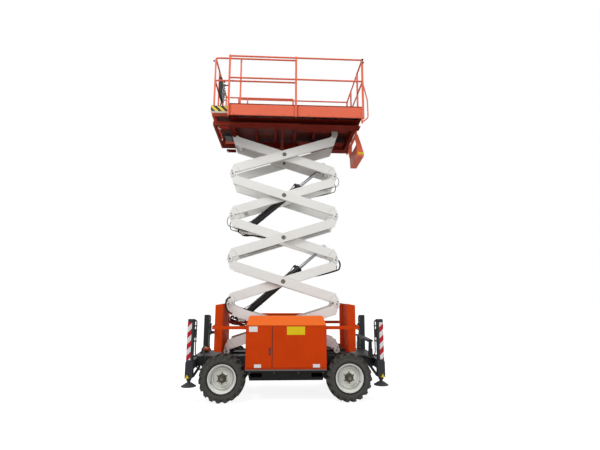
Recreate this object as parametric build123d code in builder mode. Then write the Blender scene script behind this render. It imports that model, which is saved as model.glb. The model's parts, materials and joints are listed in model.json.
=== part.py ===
"""Rough-terrain scissor lift: five-stage scissor stack on a four-wheel chassis with levelling jacks.

Frame: millimetres, +Z up, +X towards the rear, -X towards the steered front axle and the roll-out
deck.  The origin is on the ground under the middle of the machine.  The near side is -Y.
"""
import os
from math import cos, radians, sin

from build123d import *

os.makedirs("parts", exist_ok=True)

# ---------------------------------------------------------------- driving dimensions
wheelbase = 2290
overall_width = 1780
overall_length = 3724       # over the jacks' foot pads

wheel_diameter = 838
tyre_width = 300
rim_lip_radius = 250

stage_count = 5
pin_span = 2311             # between the two end pins of one scissor arm
lift_angle = 22.469         # pin line above level in the pose that is modelled
stowed_angle = 5.1          # pin line above level with the arms lying flat
left_pin_x = -1136.3        # fixed end of the stack
base_pin_z = 835

arm_depth = 180
arm_width = 64
outer_arm_y = 300           # inner face of the outer arms
inner_arm_y = 216           # inner face of the inner arms
lug_radius = 58
boss_radius = 48
lug_plate = 11
lug_gap = 1
side_pin_radius = 25
centre_pin_radius = 30
pivot_clearance = 0.5
cross_tube_radius = 42

chassis_top_z = 750
chassis_bottom_z = 530
chassis_half = 420
chassis_end_x = 1655

hood_front_x, hood_rear_x = -738, 732
hood_face_y = 860
hood_back_y = 450
hood_bottom_z, hood_knee_z, hood_top_z = 595, 1345, 1500
hood_knee_y = 700
door_split_x = -252

platform_pin_z = base_pin_z + stage_count * pin_span * sin(radians(lift_angle))
floor_top_z = 5540
panel_bottom_z, panel_top_z = 5424, 5666
platform_front_x, platform_rear_x = -1184, 1487
platform_half_width = overall_width / 2
beam_bottom_z, beam_top_z = 5286, 5420
beam_inner_y, beam_outer_y = 560, 785
top_rail_z, mid_rail_z = 6711, 6212
rollout_front_x = -1515
rollout_half_width = 828

# ---------------------------------------------------------------- worked out from those
stage_height = pin_span * sin(radians(lift_angle))
pin_reach = pin_span * cos(radians(lift_angle))
right_pin_x = left_pin_x + pin_reach
arm_pitch = pin_span * sin(radians(stowed_angle))    # from lower pin to upper pin, square to the tube
arm_run = pin_span * cos(radians(stowed_angle))      # from lower pin to upper pin, along the tube
tube_angle = lift_angle - stowed_angle
tube_low = (arm_pitch - arm_depth) / 2
tube_high = (arm_pitch + arm_depth) / 2
wheel_radius = wheel_diameter / 2
hub_z = wheel_radius
axle_x = wheelbase / 2
wheel_mid_y = (overall_width - tyre_width) / 2


def block(x, y, z, mode=Mode.ADD):
    """Add a box given its (low, high) range on each axis."""
    ranges = (x, y, z)
    with Locations(tuple((low + high) / 2 for low, high in ranges)):
        Box(*(high - low for low, high in ranges), mode=mode)


def cross_bar(x, z, y_low, y_high, radius, mode=Mode.ADD):
    """Add a round bar that lies across the machine."""
    with Locations(Location((x, (y_low + y_high) / 2, z), (90, 0, 0))):
        Cylinder(radius, y_high - y_low, mode=mode)


def bent_tube(points, bend, width, height=None, section_x=(0, 0, 1)):
    """Sweep a round tube, or a flat bar of a given height, along straight runs with bent corners."""
    with BuildLine(mode=Mode.PRIVATE) as path:
        if len(points) > 2:
            FilletPolyline(*points, radius=bend)
        else:
            Line(*points)
    start = path.line @ 0
    heading = path.line % 0
    with BuildSketch(Plane(origin=start, x_dir=section_x, z_dir=heading), mode=Mode.PRIVATE) as section:
        if height is None:
            Circle(width / 2)
        else:
            Rectangle(height, width)
    sweep(section.sketch, path=path.line, transition=Transition.RIGHT)


def finish(name, label):
    """Label a finished piece and write its STEP file."""
    name.part.label = label
    export_step(name.part, f"parts/{label}.step")


# ---------------------------------------------------------------- chassis
wall = 10
deck_slot = (700, 300)

with BuildPart() as chassis_frame:
    # Inverted channel: top deck, two side webs with inward flanges, closed at both ends.
    with BuildSketch(Plane.YZ.offset(-chassis_end_x)):
        with Locations((0, (chassis_top_z + chassis_bottom_z) / 2)):
            Rectangle(2 * chassis_half, chassis_top_z - chassis_bottom_z)
        with Locations((0, (chassis_top_z + chassis_bottom_z) / 2 - wall)):
            Rectangle(2 * (chassis_half - wall), chassis_top_z - chassis_bottom_z, mode=Mode.SUBTRACT)
        flange_z = chassis_bottom_z + wall / 2
        with Locations((chassis_half - 50, flange_z), (-chassis_half + 50, flange_z)):
            Rectangle(100, wall)
    extrude(amount=2 * chassis_end_x)
    # Bulkheads under the deck: both ends, both axles and the middle.
    for x in (-chassis_end_x + 5, -axle_x, -400, 400, axle_x, chassis_end_x - 5):
        block((x - 5, x + 5), (-chassis_half + wall, chassis_half - wall),
              (chassis_bottom_z, chassis_top_z - wall))
    # Access slots in the deck between the slide tracks.
    with BuildSketch(Plane.XY.offset(chassis_top_z)):
        with Locations((-780, 0), (0, 0), (780, 0)):
            SlotOverall(*deck_slot)
    extrude(amount=-wall, mode=Mode.SUBTRACT)
    # Lower outer corners of both ends are cut away for the ramp angle.
    with BuildSketch(Plane.XZ.offset(-chassis_half - 1)):
        with BuildLine():
            Polyline((-chassis_end_x, chassis_bottom_z), (-chassis_end_x + 120, chassis_bottom_z),
                     (-chassis_end_x, chassis_bottom_z + 80), close=True)
        make_face()
        mirror(about=Plane.YZ)
    extrude(amount=2 * chassis_half + 2, mode=Mode.SUBTRACT)
    # Slide tracks for the sliding lower ends of the inner arms.
    track_top = base_pin_z - 50
    for side in (-1, 1):
        block((270, 1236), (side * 248 - 26, side * 248 + 26), (chassis_top_z, track_top))
    # Pivot posts for the fixed lower ends of the outer arms.
    for side in (-1, 1):
        with BuildSketch(Plane.XZ.offset(-side * 332 - 30)):
            with BuildLine():
                Polyline((left_pin_x - 60, chassis_top_z), (left_pin_x + 85, chassis_top_z),
                         (left_pin_x + 50, base_pin_z), (left_pin_x - 50, base_pin_z), close=True)
            make_face()
            with Locations((left_pin_x, base_pin_z)):
                Circle(50)
                Circle(side_pin_radius + pivot_clearance, mode=Mode.SUBTRACT)
        extrude(amount=60)
finish(chassis_frame, "chassis_frame")

# Trays that carry the hoods, with two fork pockets right across the machine.
tray_lip_z = 575
tray_bottom_z = 387
pocket_z = (432, 535)
pocket_x = ((-646, -434), (455, 661))
skirt_y = 845
tray_end_x = 700

with BuildPart() as fork_tray:
    with BuildSketch(Plane.YZ.offset(-tray_end_x)):
        with BuildLine():
            Polyline((-865, tray_lip_z - 20), (-865, tray_lip_z), (-chassis_half - 1, tray_lip_z),
                     (-chassis_half - 1, tray_lip_z - 8), (-845, tray_lip_z - 8), (-835, tray_lip_z - 20),
                     close=True)
        make_face()
        mirror(about=Plane.YZ)
    extrude(amount=2 * tray_end_x)
    # Skirt plates with tapered ends, set back under the lip.
    for inner_face in (skirt_y - wall, -skirt_y):
        with BuildSketch(Plane.XZ.offset(-inner_face)):
            with BuildLine():
                Polyline((-tray_end_x, tray_lip_z - 8), (tray_end_x, tray_lip_z - 8),
                         (tray_end_x - 40, tray_bottom_z), (-tray_end_x + 40, tray_bottom_z), close=True)
            make_face()
        extrude(amount=-wall)
    for low, high in pocket_x:
        block((low - 8, high + 8), (-843, 843), (pocket_z[0] - 8, pocket_z[1] - 14))
    # Stiffening ribs between skirt and chassis.
    for x in (-654, -200, 220, 661):
        for y_side in (-1, 1):
            block((x, x + 8), sorted((y_side * (chassis_half + 1), y_side * (skirt_y - 6))),
                  (pocket_z[0], tray_lip_z - 8))
    for low, high in pocket_x:
        block((low, high), (-900, 900), (pocket_z[0], pocket_z[1] - 22), mode=Mode.SUBTRACT)
    # The front corners of the tray are cut back for the steered tyres.
    for y_side in (-1, 1):
        block((-tray_end_x - 1, -672), sorted((y_side * chassis_half, y_side * 805)),
              (pocket_z[0], tray_lip_z + 1), mode=Mode.SUBTRACT)
finish(fork_tray, "fork_tray")

# ---------------------------------------------------------------- axles and knuckles
kingpin_y = 650
kingpin_radius = 20
steering_arm_z = 294

with BuildPart() as front_axle:
    # Beam with a raised middle that pivots under the chassis, and a fork at each end.
    with BuildSketch(Plane.YZ.offset(-axle_x - 60)):
        with BuildLine():
            Polyline((0, 530), (120, 530), (170, 480), (560, 480), (590, 530), (690, 530),
                     (690, 495), (604, 495), (604, 343), (690, 343), (690, 308), (590, 308),
                     (560, 360), (0, 360), close=True)
        make_face()
        mirror(about=Plane.YZ)
    extrude(amount=120)
    for side in (-1, 1):
        with Locations((-axle_x, side * kingpin_y, hub_z)):
            Cylinder(kingpin_radius + 1, 300, mode=Mode.SUBTRACT)
    # Double-ended steering cylinder behind the beam, on a bracket.
    cross_bar(-axle_x + 105, steering_arm_z, -260, 260, 32)
    cross_bar(-axle_x + 105, steering_arm_z, -585, 585, 12)
    block((-axle_x + 40, -axle_x + 105), (-60, 60), (280, 380))
finish(front_axle, "front_axle")

with BuildPart() as rear_axle:
    with BuildSketch(Plane.YZ.offset(axle_x - 60)):
        with BuildLine():
            Polyline((0, 530), (240, 530), (290, 490), (560, 490), (600, 460), (600, 378),
                     (560, 348), (150, 348), (110, 320), (0, 320), close=True)
        make_face()
        mirror(about=Plane.YZ)
    extrude(amount=120)
    cross_bar(axle_x, hub_z, -wheel_mid_y + 20, wheel_mid_y - 20, 40)
finish(rear_axle, "rear_axle")

for side, label in ((-1, "near"), (1, "far")):
    with BuildPart() as knuckle:
        # Barrel between the fork arms, kingpin through both, stub axle out to the wheel.
        with Locations((-axle_x, side * kingpin_y, hub_z)):
            Cylinder(42, 148)
            Cylinder(kingpin_radius, 250)
        cross_bar(-axle_x, hub_z, *sorted((side * kingpin_y, side * (wheel_mid_y - 12))), 36)
        # Steering arm on the lower end of the kingpin, pointing back to the steering cylinder.
        with BuildSketch(Plane.XY.offset(steering_arm_z - 10)):
            with BuildLine():
                Polyline((-axle_x, side * kingpin_y - 24), (-axle_x + 112, side * kingpin_y - 14),
                         (-axle_x + 112, side * kingpin_y + 14), (-axle_x, side * kingpin_y + 24),
                         close=True)
            make_face()
            with Locations((-axle_x, side * kingpin_y)):
                Circle(28)
        extrude(amount=20)
    finish(knuckle, f"knuckle_{label}")

# ---------------------------------------------------------------- wheels
tyre_section = (             # (radius, half width) from bead to tread
    (240.3, 117.7), (254, 117.7), (262, 136), (286, 147), (340, 150), (385, 143), (412, 122), (419, 90))
rim_section = (              # (radius, offset from the wheel's mid plane), outer side first
    (240, 118), (rim_lip_radius + 2, 118), (rim_lip_radius + 2, 128), (238, 128), (226, 104), (217, 40),
    (196, 16), (116, 24), (100, 44), (62, 54), (62, 122), (48, 132), (0, 132), (0, -10), (60, -10),
    (60, 0), (110, 8), (190, -2), (208, -24), (216, -96), (230, -128), (rim_lip_radius + 2, -128),
    (rim_lip_radius + 2, -118), (240, -118))

wheel_places = (("front", -1), ("rear", 1))
for end, x_side in wheel_places:
    for side, label in ((-1, "near"), (1, "far")):
        hub = (x_side * axle_x, side * wheel_mid_y, hub_z)
        section_plane = Plane(origin=hub, x_dir=(1, 0, 0), z_dir=(0, 0, side))
        with BuildPart() as tyre:
            with BuildSketch(section_plane):
                with BuildLine():
                    outer = list(tyre_section)
                    inner = [(radius, -offset) for radius, offset in reversed(tyre_section)]
                    Polyline(*outer, *inner, close=True)
                make_face()
            revolve(axis=Axis(hub, (0, 1, 0)))
        finish(tyre, f"tyre_{end}_{label}")
        with BuildPart() as rim:
            with BuildSketch(section_plane):
                with BuildLine():
                    Polyline(*rim_section, close=True)
                make_face()
            revolve(axis=Axis(hub, (0, 1, 0)))
        finish(rim, f"rim_{end}_{label}")

# ---------------------------------------------------------------- hoods, doors and engine
sheet = 8
door_thickness = 28
door_gap = 6
door_low_z, door_high_z = 607, 1333

for side, label in ((-1, "near"), (1, "far")):
    with BuildPart() as hood:
        # Cross-section with a sloped shoulder, run along the machine and hollowed from below.
        with BuildSketch(Plane.YZ.offset(hood_front_x)):
            with BuildLine():
                Polyline((side * hood_face_y, hood_bottom_z - 20), (side * hood_face_y, hood_knee_z),
                         (side * hood_knee_y, hood_top_z), (side * hood_back_y, hood_top_z),
                         (side * hood_back_y, hood_bottom_z - 20), close=True)
            make_face()
        extrude(amount=hood_rear_x - hood_front_x)
        # The ends lean in above the shoulder.
        with BuildSketch(Plane.XZ.offset(-1000)):
            with BuildLine():
                Polyline((hood_front_x - 1, hood_knee_z - 20), (hood_front_x + 46, hood_top_z + 1),
                         (hood_front_x - 1, hood_top_z + 1), close=True)
            make_face()
            with BuildLine():
                Polyline((hood_rear_x + 1, hood_knee_z - 20), (hood_rear_x - 46, hood_top_z + 1),
                         (hood_rear_x + 1, hood_top_z + 1), close=True)
            make_face()
        extrude(amount=2000, mode=Mode.SUBTRACT)
        # Pocket behind the front corner, where the steered tyre swings in.
        block((hood_front_x - 1, hood_front_x + 72), sorted((side * 440, side * 825)), (500, 890),
              mode=Mode.SUBTRACT)
        underside = faces().sort_by(Axis.Z)[0]
        offset(amount=-sheet, openings=underside, kind=Kind.INTERSECTION)
        # Door openings, with a post between them.
        for low, high in ((hood_front_x + 10, door_split_x - 12), (door_split_x + 12, hood_rear_x - 10)):
            block((low, high), sorted((side * (hood_face_y - 40), side * (hood_face_y + 1))),
                  (door_low_z - 4, door_high_z + 4), mode=Mode.SUBTRACT)
    finish(hood, f"hood_{label}")

    for end, low, high in (("front", hood_front_x + 6, door_split_x - door_gap / 2),
                           ("rear", door_split_x + door_gap / 2, hood_rear_x - 6)):
        with BuildPart() as door:
            # Pressed pan with a return flange, open towards the hood.
            outer, inner = side * (hood_face_y + 10), side * (hood_face_y + 1)
            block((low, high), sorted((outer, inner)), (door_low_z, door_high_z))
            fillet(edges().filter_by(Axis.Y), 10)
            flange = side * (hood_face_y - door_thickness + 10)
            with BuildSketch(Plane.XZ.offset(-inner)):
                with Locations(((low + high) / 2, (door_low_z + door_high_z) / 2)):
                    Rectangle(high - low - 36, door_high_z - door_low_z - 36)
                    Rectangle(high - low - 48, door_high_z - door_low_z - 48, mode=Mode.SUBTRACT)
            extrude(amount=inner - flange)
            if end == "front":
                block((high - 58, high - 32), sorted((side * (hood_face_y + 4), side * (hood_face_y + 20))),
                      (830, 950), mode=Mode.SUBTRACT)
        finish(door, f"hood_door_{label}_{end}")

with BuildPart() as engine_block:
    block((60, 640), (-790, -480), (tray_lip_z, 1130))
    chamfer(edges().filter_by(Axis.X).group_by(Axis.Z)[-1], 40)
finish(engine_block, "engine_block")

# ---------------------------------------------------------------- end guards and side rails
guard_low_z, guard_high_z = 842, 1726
guard_half_width = 568
guard_depth = 140
guard_places = (             # (name, inner face x, recess behind the arms' ends, direction away from them)
    ("front", -1210, 0, -1), ("rear", 1187, 53, 1))

for end, x_inner, recess, outward in guard_places:
    with BuildPart() as guard:
        # Folded channel that stands across the end of the stack, open to the outside.
        inner_face = ((recess, 0), (recess, 396), (0, 408)) if recess else ((0, 0),)
        back_face = [(depth + sheet, y) for depth, y in reversed(inner_face)]
        flange = ((0, guard_half_width), (guard_depth, guard_half_width - 8),
                  (guard_depth, guard_half_width - 60), (guard_depth - sheet, guard_half_width - 60),
                  (guard_depth - sheet, guard_half_width - 16), (sheet, guard_half_width - sheet))
        with BuildSketch(Plane.XY.offset(chassis_top_z)):
            with BuildLine():
                outline = (*inner_face, *flange, *back_face)
                Polyline(*((x_inner + outward * depth, y) for depth, y in outline), close=True)
            make_face()
            mirror(about=Plane.XZ)
        extrude(amount=guard_high_z - chassis_top_z)
        # Clearance over the tyres: only the middle reaches down to the chassis.
        for y_side in (-1, 1):
            block(sorted((x_inner - outward, x_inner + outward * 200)),
                  sorted((y_side * (chassis_half - 5), y_side * 700)), (700, guard_low_z),
                  mode=Mode.SUBTRACT)
        # The top edge falls away outwards.
        with BuildSketch(Plane.XZ.offset(-700)):
            with BuildLine():
                Polyline((x_inner - outward, guard_high_z), (x_inner + outward * 200, guard_high_z - 34),
                         (x_inner + outward * 200, guard_high_z + 10), (x_inner - outward, guard_high_z + 10),
                         close=True)
            make_face()
        extrude(amount=1400, mode=Mode.SUBTRACT)
    finish(guard, f"end_guard_{end}")

rail_z = 1300
rail_y = 800
rail_bar = (12, 60)          # thickness, height
with BuildPart() as side_rails:
    for hood_x, end_x in ((hood_front_x, -1361), (hood_rear_x, 1356)):
        bent_tube(((hood_x, -rail_y, rail_z), (end_x, -rail_y, rail_z), (end_x, rail_y, rail_z),
                   (hood_x, rail_y, rail_z)), 60, *rail_bar)
finish(side_rails, "side_rails")

# ---------------------------------------------------------------- levelling jacks
foot_radius = 132
jack_x = overall_length / 2 - foot_radius
jack_y = 802
jack_tube = 110
jack_low_z, jack_high_z = 432, 1455
foot_z = 290
leg_tube = 78
eye_z, eye_radius, eye_plate = 495, 17.5, 20

for end, x_side in wheel_places:
    with BuildPart() as jack_frame:
        x = x_side * jack_x
        for y_side in (-1, 1):
            y = y_side * jack_y
            # Square column with a wider sleeve at its foot, capped at the top.
            with BuildSketch(Plane.XY.offset(jack_low_z)):
                with Locations((x, y)):
                    Rectangle(jack_tube, jack_tube)
                    Rectangle(leg_tube + 4, leg_tube + 4, mode=Mode.SUBTRACT)
            extrude(amount=jack_high_z - jack_low_z)
            with BuildSketch(Plane.XY.offset(jack_low_z)):
                with Locations((x, y)):
                    Rectangle(jack_tube + 20, jack_tube + 20)
                    Rectangle(leg_tube + 4, leg_tube + 4, mode=Mode.SUBTRACT)
            extrude(amount=280)
            block((x - 55, x + 55), (y - 55, y + 55), (jack_high_z - 12, jack_high_z))
            # Brace from the foot of the sleeve to the corner of the chassis.
            foot = Vector(x - x_side * 66, y - y_side * 25, 455)
            head = Vector(x_side * (chassis_end_x - 30), y_side * 415, 560)
            with BuildSketch(Plane(origin=foot, x_dir=(0, 0, 1), z_dir=head - foot)):
                Rectangle(34, 34)
            extrude(amount=(head - foot).length)
        # Transverse beam behind the columns, closed against the chassis end.
        block((x - 50, x + 50), (-jack_y + 55, jack_y - 55), (560, 720))
        block(sorted((x_side * chassis_end_x, x - x_side * 50)), (-chassis_half + 20, chassis_half - 20),
              (560, 740))
        # Towing and tie-down eye under the middle of the beam.
        with BuildSketch(Plane.XZ.offset(-eye_plate / 2)):
            with BuildLine():
                Polyline((x - 60, 561), (x - 42, eye_z), (x + 42, eye_z), (x + 60, 561), close=True)
            make_face()
            with Locations((x, eye_z)):
                Circle(42)
                Circle(eye_radius, mode=Mode.SUBTRACT)
        extrude(amount=eye_plate)
    finish(jack_frame, f"jack_frame_{end}")

    for side, label in ((-1, "near"), (1, "far")):
        with BuildPart() as jack_leg:
            place = (x_side * jack_x, side * jack_y)
            with BuildSketch(Plane.XY.offset(jack_low_z - 42)):
                with Locations(place):
                    RectangleRounded(leg_tube, leg_tube, 8)
            extrude(amount=900)
            with Locations((place[0], place[1], foot_z + 75)):
                Cylinder(30, 60)
            # Dished foot pad on a ball.
            with BuildSketch(Plane(origin=(*place, foot_z), x_dir=(1, 0, 0), z_dir=(0, -1, 0))):
                with BuildLine():
                    Polyline((0, 0), (foot_radius, 0), (foot_radius, 12), (112, 22), (52, 62), (0, 62),
                             close=True)
                make_face()
            revolve(axis=Axis((*place, 0), (0, 0, 1)))
        finish(jack_leg, f"jack_leg_{end}_{label}")

step_half_width = 600
step_x = 1536
step_top_z = 1066
with BuildPart() as rear_step:
    # Folded tread across the rear, with a turned-down edge.
    with BuildSketch(Plane.XZ.offset(-step_half_width)):
        with BuildLine():
            Polyline((step_x, step_top_z), (step_x + 84, step_top_z - 18), (step_x + 84, step_top_z - 58),
                     (step_x + 76, step_top_z - 58), (step_x + 76, step_top_z - 25),
                     (step_x, step_top_z - 8), close=True)
        make_face()
    extrude(amount=2 * step_half_width)
    # Plate legs that widen towards their feet, on brackets beside the chassis.
    with BuildSketch(Plane.YZ.offset(step_x + 40)):
        with BuildLine():
            Polyline((-step_half_width, step_top_z - 14), (-step_half_width + 60, step_top_z - 14),
                     (-step_half_width + 130, chassis_top_z), (-step_half_width - 40, chassis_top_z),
                     close=True)
        make_face()
        mirror(about=Plane.YZ)
    extrude(amount=8)
    for y_side in (-1, 1):
        bracket_faces = sorted((y_side * (chassis_half + 1), y_side * (step_half_width + 40)))
        block((step_x + 10, chassis_end_x), bracket_faces, (chassis_top_z - 12, chassis_top_z))
finish(rear_step, "rear_step")

# ---------------------------------------------------------------- scissor arms
ear_along, ear_up = 334, -143         # barrel pin on a B arm, from its upper pin along the pin line
eye_along, eye_up = 1990, 162         # rod pin on the B arm two stages above


def pin_z(level):
    """Height of the end pins at one level of the stack."""
    return base_pin_z + level * stage_height


def arm_plane(lean, stage):
    """Side plane of an arm: origin at its lower pin, X along its tube, lean the sign of its slope."""
    lower_x = left_pin_x if lean > 0 else right_pin_x
    return Plane(origin=(lower_x, 0, pin_z(stage - 1)),
                 x_dir=(lean * cos(radians(tube_angle)), 0, sin(radians(tube_angle))),
                 z_dir=(0, -lean, 0))


def on_tube(along, up):
    """Turn a place given along and above the pin line from the upper pin into tube coordinates."""
    turn = radians(stowed_angle)
    return (arm_run - along * cos(turn) - up * sin(turn),
            arm_pitch + along * -sin(turn) + up * cos(turn))


end_corner = 34              # the tube's ends are cut in two steps, steep then slanted
end_slant = 76
tube_outline = ((-9, tube_low), (-end_corner, tube_low + 27), (end_slant, tube_high),
                (arm_run + 9, tube_high), (arm_run + end_corner, tube_high - 27),
                (arm_run - end_slant, tube_low))
lug_outline = ((-48, tube_low + 14), (22, 137), (118, 137), (160, tube_low))
foot_outline = ((arm_run - 120, tube_high - 1), (arm_run + 9, tube_high - 1),
                (arm_run + boss_radius - 8, arm_pitch + 8), (arm_run - boss_radius, arm_pitch + 12))
arm_table = (                # (name, slope, stage, outer pair?)
    ("a", 1, 1, True), ("b", -1, 1, False), ("a", 1, 2, False), ("b", -1, 2, True),
    ("a", 1, 3, True), ("b", -1, 3, False), ("a", 1, 4, False), ("b", -1, 4, True),
    ("a", 1, 5, True), ("b", -1, 5, False))

for letter, lean, stage, is_outer in arm_table:
    side = arm_plane(lean, stage)
    face_y = outer_arm_y if is_outer else inner_arm_y
    middle = (arm_run / 2, arm_pitch / 2)
    with BuildPart() as arm:
        # Box tube with slanted ends; its upper end carries a boss for the pin above.
        with BuildSketch(side.offset(face_y)):
            with BuildLine():
                Polyline(*tube_outline, close=True)
            make_face()
            with BuildLine():
                Polyline(*foot_outline, close=True)
            make_face()
            with Locations((arm_run, arm_pitch)):
                Circle(boss_radius)
                Circle(side_pin_radius + pivot_clearance, mode=Mode.SUBTRACT)
            # The lower end is cut back round the boss below.
            Circle(boss_radius + 6, mode=Mode.SUBTRACT)
            if is_outer:
                with Locations(middle):
                    Circle(centre_pin_radius + pivot_clearance, mode=Mode.SUBTRACT)
        extrude(amount=arm_width)
        # Lug plates on both sides of the lower end, just proud of the tube.
        for low in (face_y - lug_gap - lug_plate, face_y + arm_width + lug_gap):
            with BuildSketch(side.offset(low)):
                with BuildLine():
                    Polyline(*lug_outline, close=True)
                make_face()
                Circle(lug_radius)
            extrude(amount=lug_plate)
        with BuildSketch(side.offset(face_y - lug_gap)):
            with BuildLine():
                Polyline((-20, 70), (30, 130), (110, 130), (130, 70), close=True)
            make_face()
        extrude(amount=arm_width + 2 * lug_gap)
        # Side pin through the lugs, proud of them on both faces.
        with BuildSketch(side.offset(face_y - lug_gap - lug_plate - 2)):
            Circle(side_pin_radius)
        extrude(amount=arm_width + 2 * (lug_gap + lug_plate) + 8)
        if not is_outer:
            # Centre pin: washer in the gap between the pairs, then through the outer arm.
            with BuildSketch(side.offset(inner_arm_y + arm_width - 1)):
                with Locations(middle):
                    Circle(55)
            extrude(amount=outer_arm_y - inner_arm_y - arm_width)
            with BuildSketch(side.offset(inner_arm_y + arm_width - 1)):
                with Locations(middle):
                    Circle(centre_pin_radius)
            extrude(amount=outer_arm_y - inner_arm_y + 7)
        mirror(about=Plane.XZ)
        if not is_outer:
            # Cross tubes join the near and far tubes.
            crossings = [(0.12 * arm_run, arm_pitch / 2), (0.93 * arm_run, arm_pitch / 2)]
            if letter == "b":
                crossings = [on_tube(2120, 92), on_tube(150, -88)]
            with BuildSketch(side.offset(-inner_arm_y - 4)):
                with Locations(*crossings):
                    Circle(cross_tube_radius)
            extrude(amount=2 * (inner_arm_y + 4))
        if letter == "b" and stage in (1, 3):
            # Ears that hang from the cross tube and carry the foot of the lift cylinder.
            ear = on_tube(ear_along, ear_up)
            root = on_tube(150, -88)
            for low in (-92, 76):
                with BuildSketch(side.offset(low)):
                    with Locations(ear):
                        Circle(52)
                    with Locations(root):
                        Circle(60)
                    make_hull()
                    with Locations(ear):
                        Circle(side_pin_radius + pivot_clearance, mode=Mode.SUBTRACT)
                extrude(amount=16)
        if letter == "b" and stage in (3, 5):
            # Lugs on the upper edge for the rod pin.
            eye = on_tube(eye_along, eye_up)
            lug_places = ((-inner_arm_y + 6, -inner_arm_y - 2), (inner_arm_y - 20, inner_arm_y - 7))
            for low, pad_low in lug_places:
                with BuildSketch(side.offset(low)):
                    with BuildLine():
                        Polyline((eye[0] - 150, tube_high - 60), (eye[0] - 46, eye[1] + 30),
                                 (eye[0] + 46, eye[1] + 30), (eye[0] + 150, tube_high - 60), close=True)
                    make_face()
                    with Locations(eye):
                        Circle(56)
                        Circle(side_pin_radius + pivot_clearance, mode=Mode.SUBTRACT)
                extrude(amount=14)
                # Pad between the lug and the tube's side.
                with BuildSketch(side.offset(pad_low)):
                    with Locations((eye[0], tube_high - 30)):
                        Rectangle(200, 50)
                extrude(amount=9)
    finish(arm, f"arm_{letter}{stage}")

# ---------------------------------------------------------------- slide blocks
with BuildPart() as base_sliders:
    # Level blocks between the lugs of the lowest inner arm, on the chassis tracks.
    with BuildSketch(Plane.XZ.offset(219)):
        with Locations((right_pin_x, base_pin_z - 32)):
            Rectangle(100, 34)
        with Locations((right_pin_x, base_pin_z)):
            Circle(boss_radius)
            Circle(side_pin_radius + pivot_clearance, mode=Mode.SUBTRACT)
    extrude(amount=58)
    mirror(about=Plane.XZ)
finish(base_sliders, "base_sliders")

slider_top_z = platform_pin_z + 100
with BuildPart() as platform_sliders:
    # Saddles over the upper ends of the topmost outer arms.
    with BuildSketch(Plane.XZ.offset(288)):
        with BuildLine():
            Polyline((right_pin_x - 62, slider_top_z), (right_pin_x - 62, platform_pin_z),
                     (right_pin_x - 34, platform_pin_z - 40), (right_pin_x + 34, platform_pin_z - 40),
                     (right_pin_x + 62, platform_pin_z), (right_pin_x + 62, slider_top_z), close=True)
        make_face()
    extrude(amount=88)
    block((right_pin_x - 70, right_pin_x + 70), (-365.5, -298.5), (platform_pin_z - 80, slider_top_z - 46),
          mode=Mode.SUBTRACT)
    cross_bar(right_pin_x, platform_pin_z, -380, -284, side_pin_radius)
    mirror(about=Plane.XZ)
finish(platform_sliders, "platform_sliders")

# ---------------------------------------------------------------- lift cylinders
barrel_radius, barrel_bore = 66, 50
barrel_length = 1525
rod_radius, rod_length = 33, 1600

for stage, label in ((1, "lower"), (3, "upper")):
    foot = arm_plane(-1, stage).from_local_coords(Vector(*on_tube(ear_along, ear_up)))
    eye = arm_plane(-1, stage + 2).from_local_coords(Vector(*on_tube(eye_along, eye_up)))
    reach = (eye - foot).length
    axis = Axis(foot, eye - foot)
    half_section = Plane(origin=foot, x_dir=(eye - foot).normalized(), z_dir=(0, -1, 0))
    with BuildPart() as barrel:
        with BuildSketch(half_section):
            with BuildLine():
                Polyline((30, 0), (30, 50), (62, 50), (62, barrel_radius - 8), (70, barrel_radius),
                         (barrel_length - 90, barrel_radius), (barrel_length - 84, barrel_radius + 7),
                         (barrel_length - 6, barrel_radius + 7), (barrel_length, barrel_radius),
                         (barrel_length, rod_radius + 1), (barrel_length - 70, rod_radius + 1),
                         (barrel_length - 70, barrel_bore), (100, barrel_bore), (100, 0), close=True)
            make_face()
        revolve(axis=axis)
        cross_bar(foot.X, foot.Z, -72, 72, 52)
        cross_bar(foot.X, foot.Z, -98, 98, side_pin_radius)
    finish(barrel, f"lift_cylinder_{label}")
    with BuildPart() as rod:
        with BuildSketch(half_section):
            with BuildLine():
                Polyline((reach - rod_length, 0), (reach - rod_length, barrel_bore - 1),
                         (reach - rod_length + 60, barrel_bore - 1), (reach - rod_length + 60, rod_radius),
                         (reach - 30, rod_radius), (reach - 30, 0), close=True)
            make_face()
        revolve(axis=axis)
        cross_bar(eye.X, eye.Z, -40, 40, 50)
        cross_bar(eye.X, eye.Z, -190, 190, side_pin_radius)
    finish(rod, f"lift_rod_{label}")

# ---------------------------------------------------------------- platform structure
beam_sheet = 8
header_bottom_z = platform_pin_z + 55
joist_half_length = platform_half_width - 31
joist_width = 50
joist_spacing = 430
floor_sheet = 15
panel_sheet = 6

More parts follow.
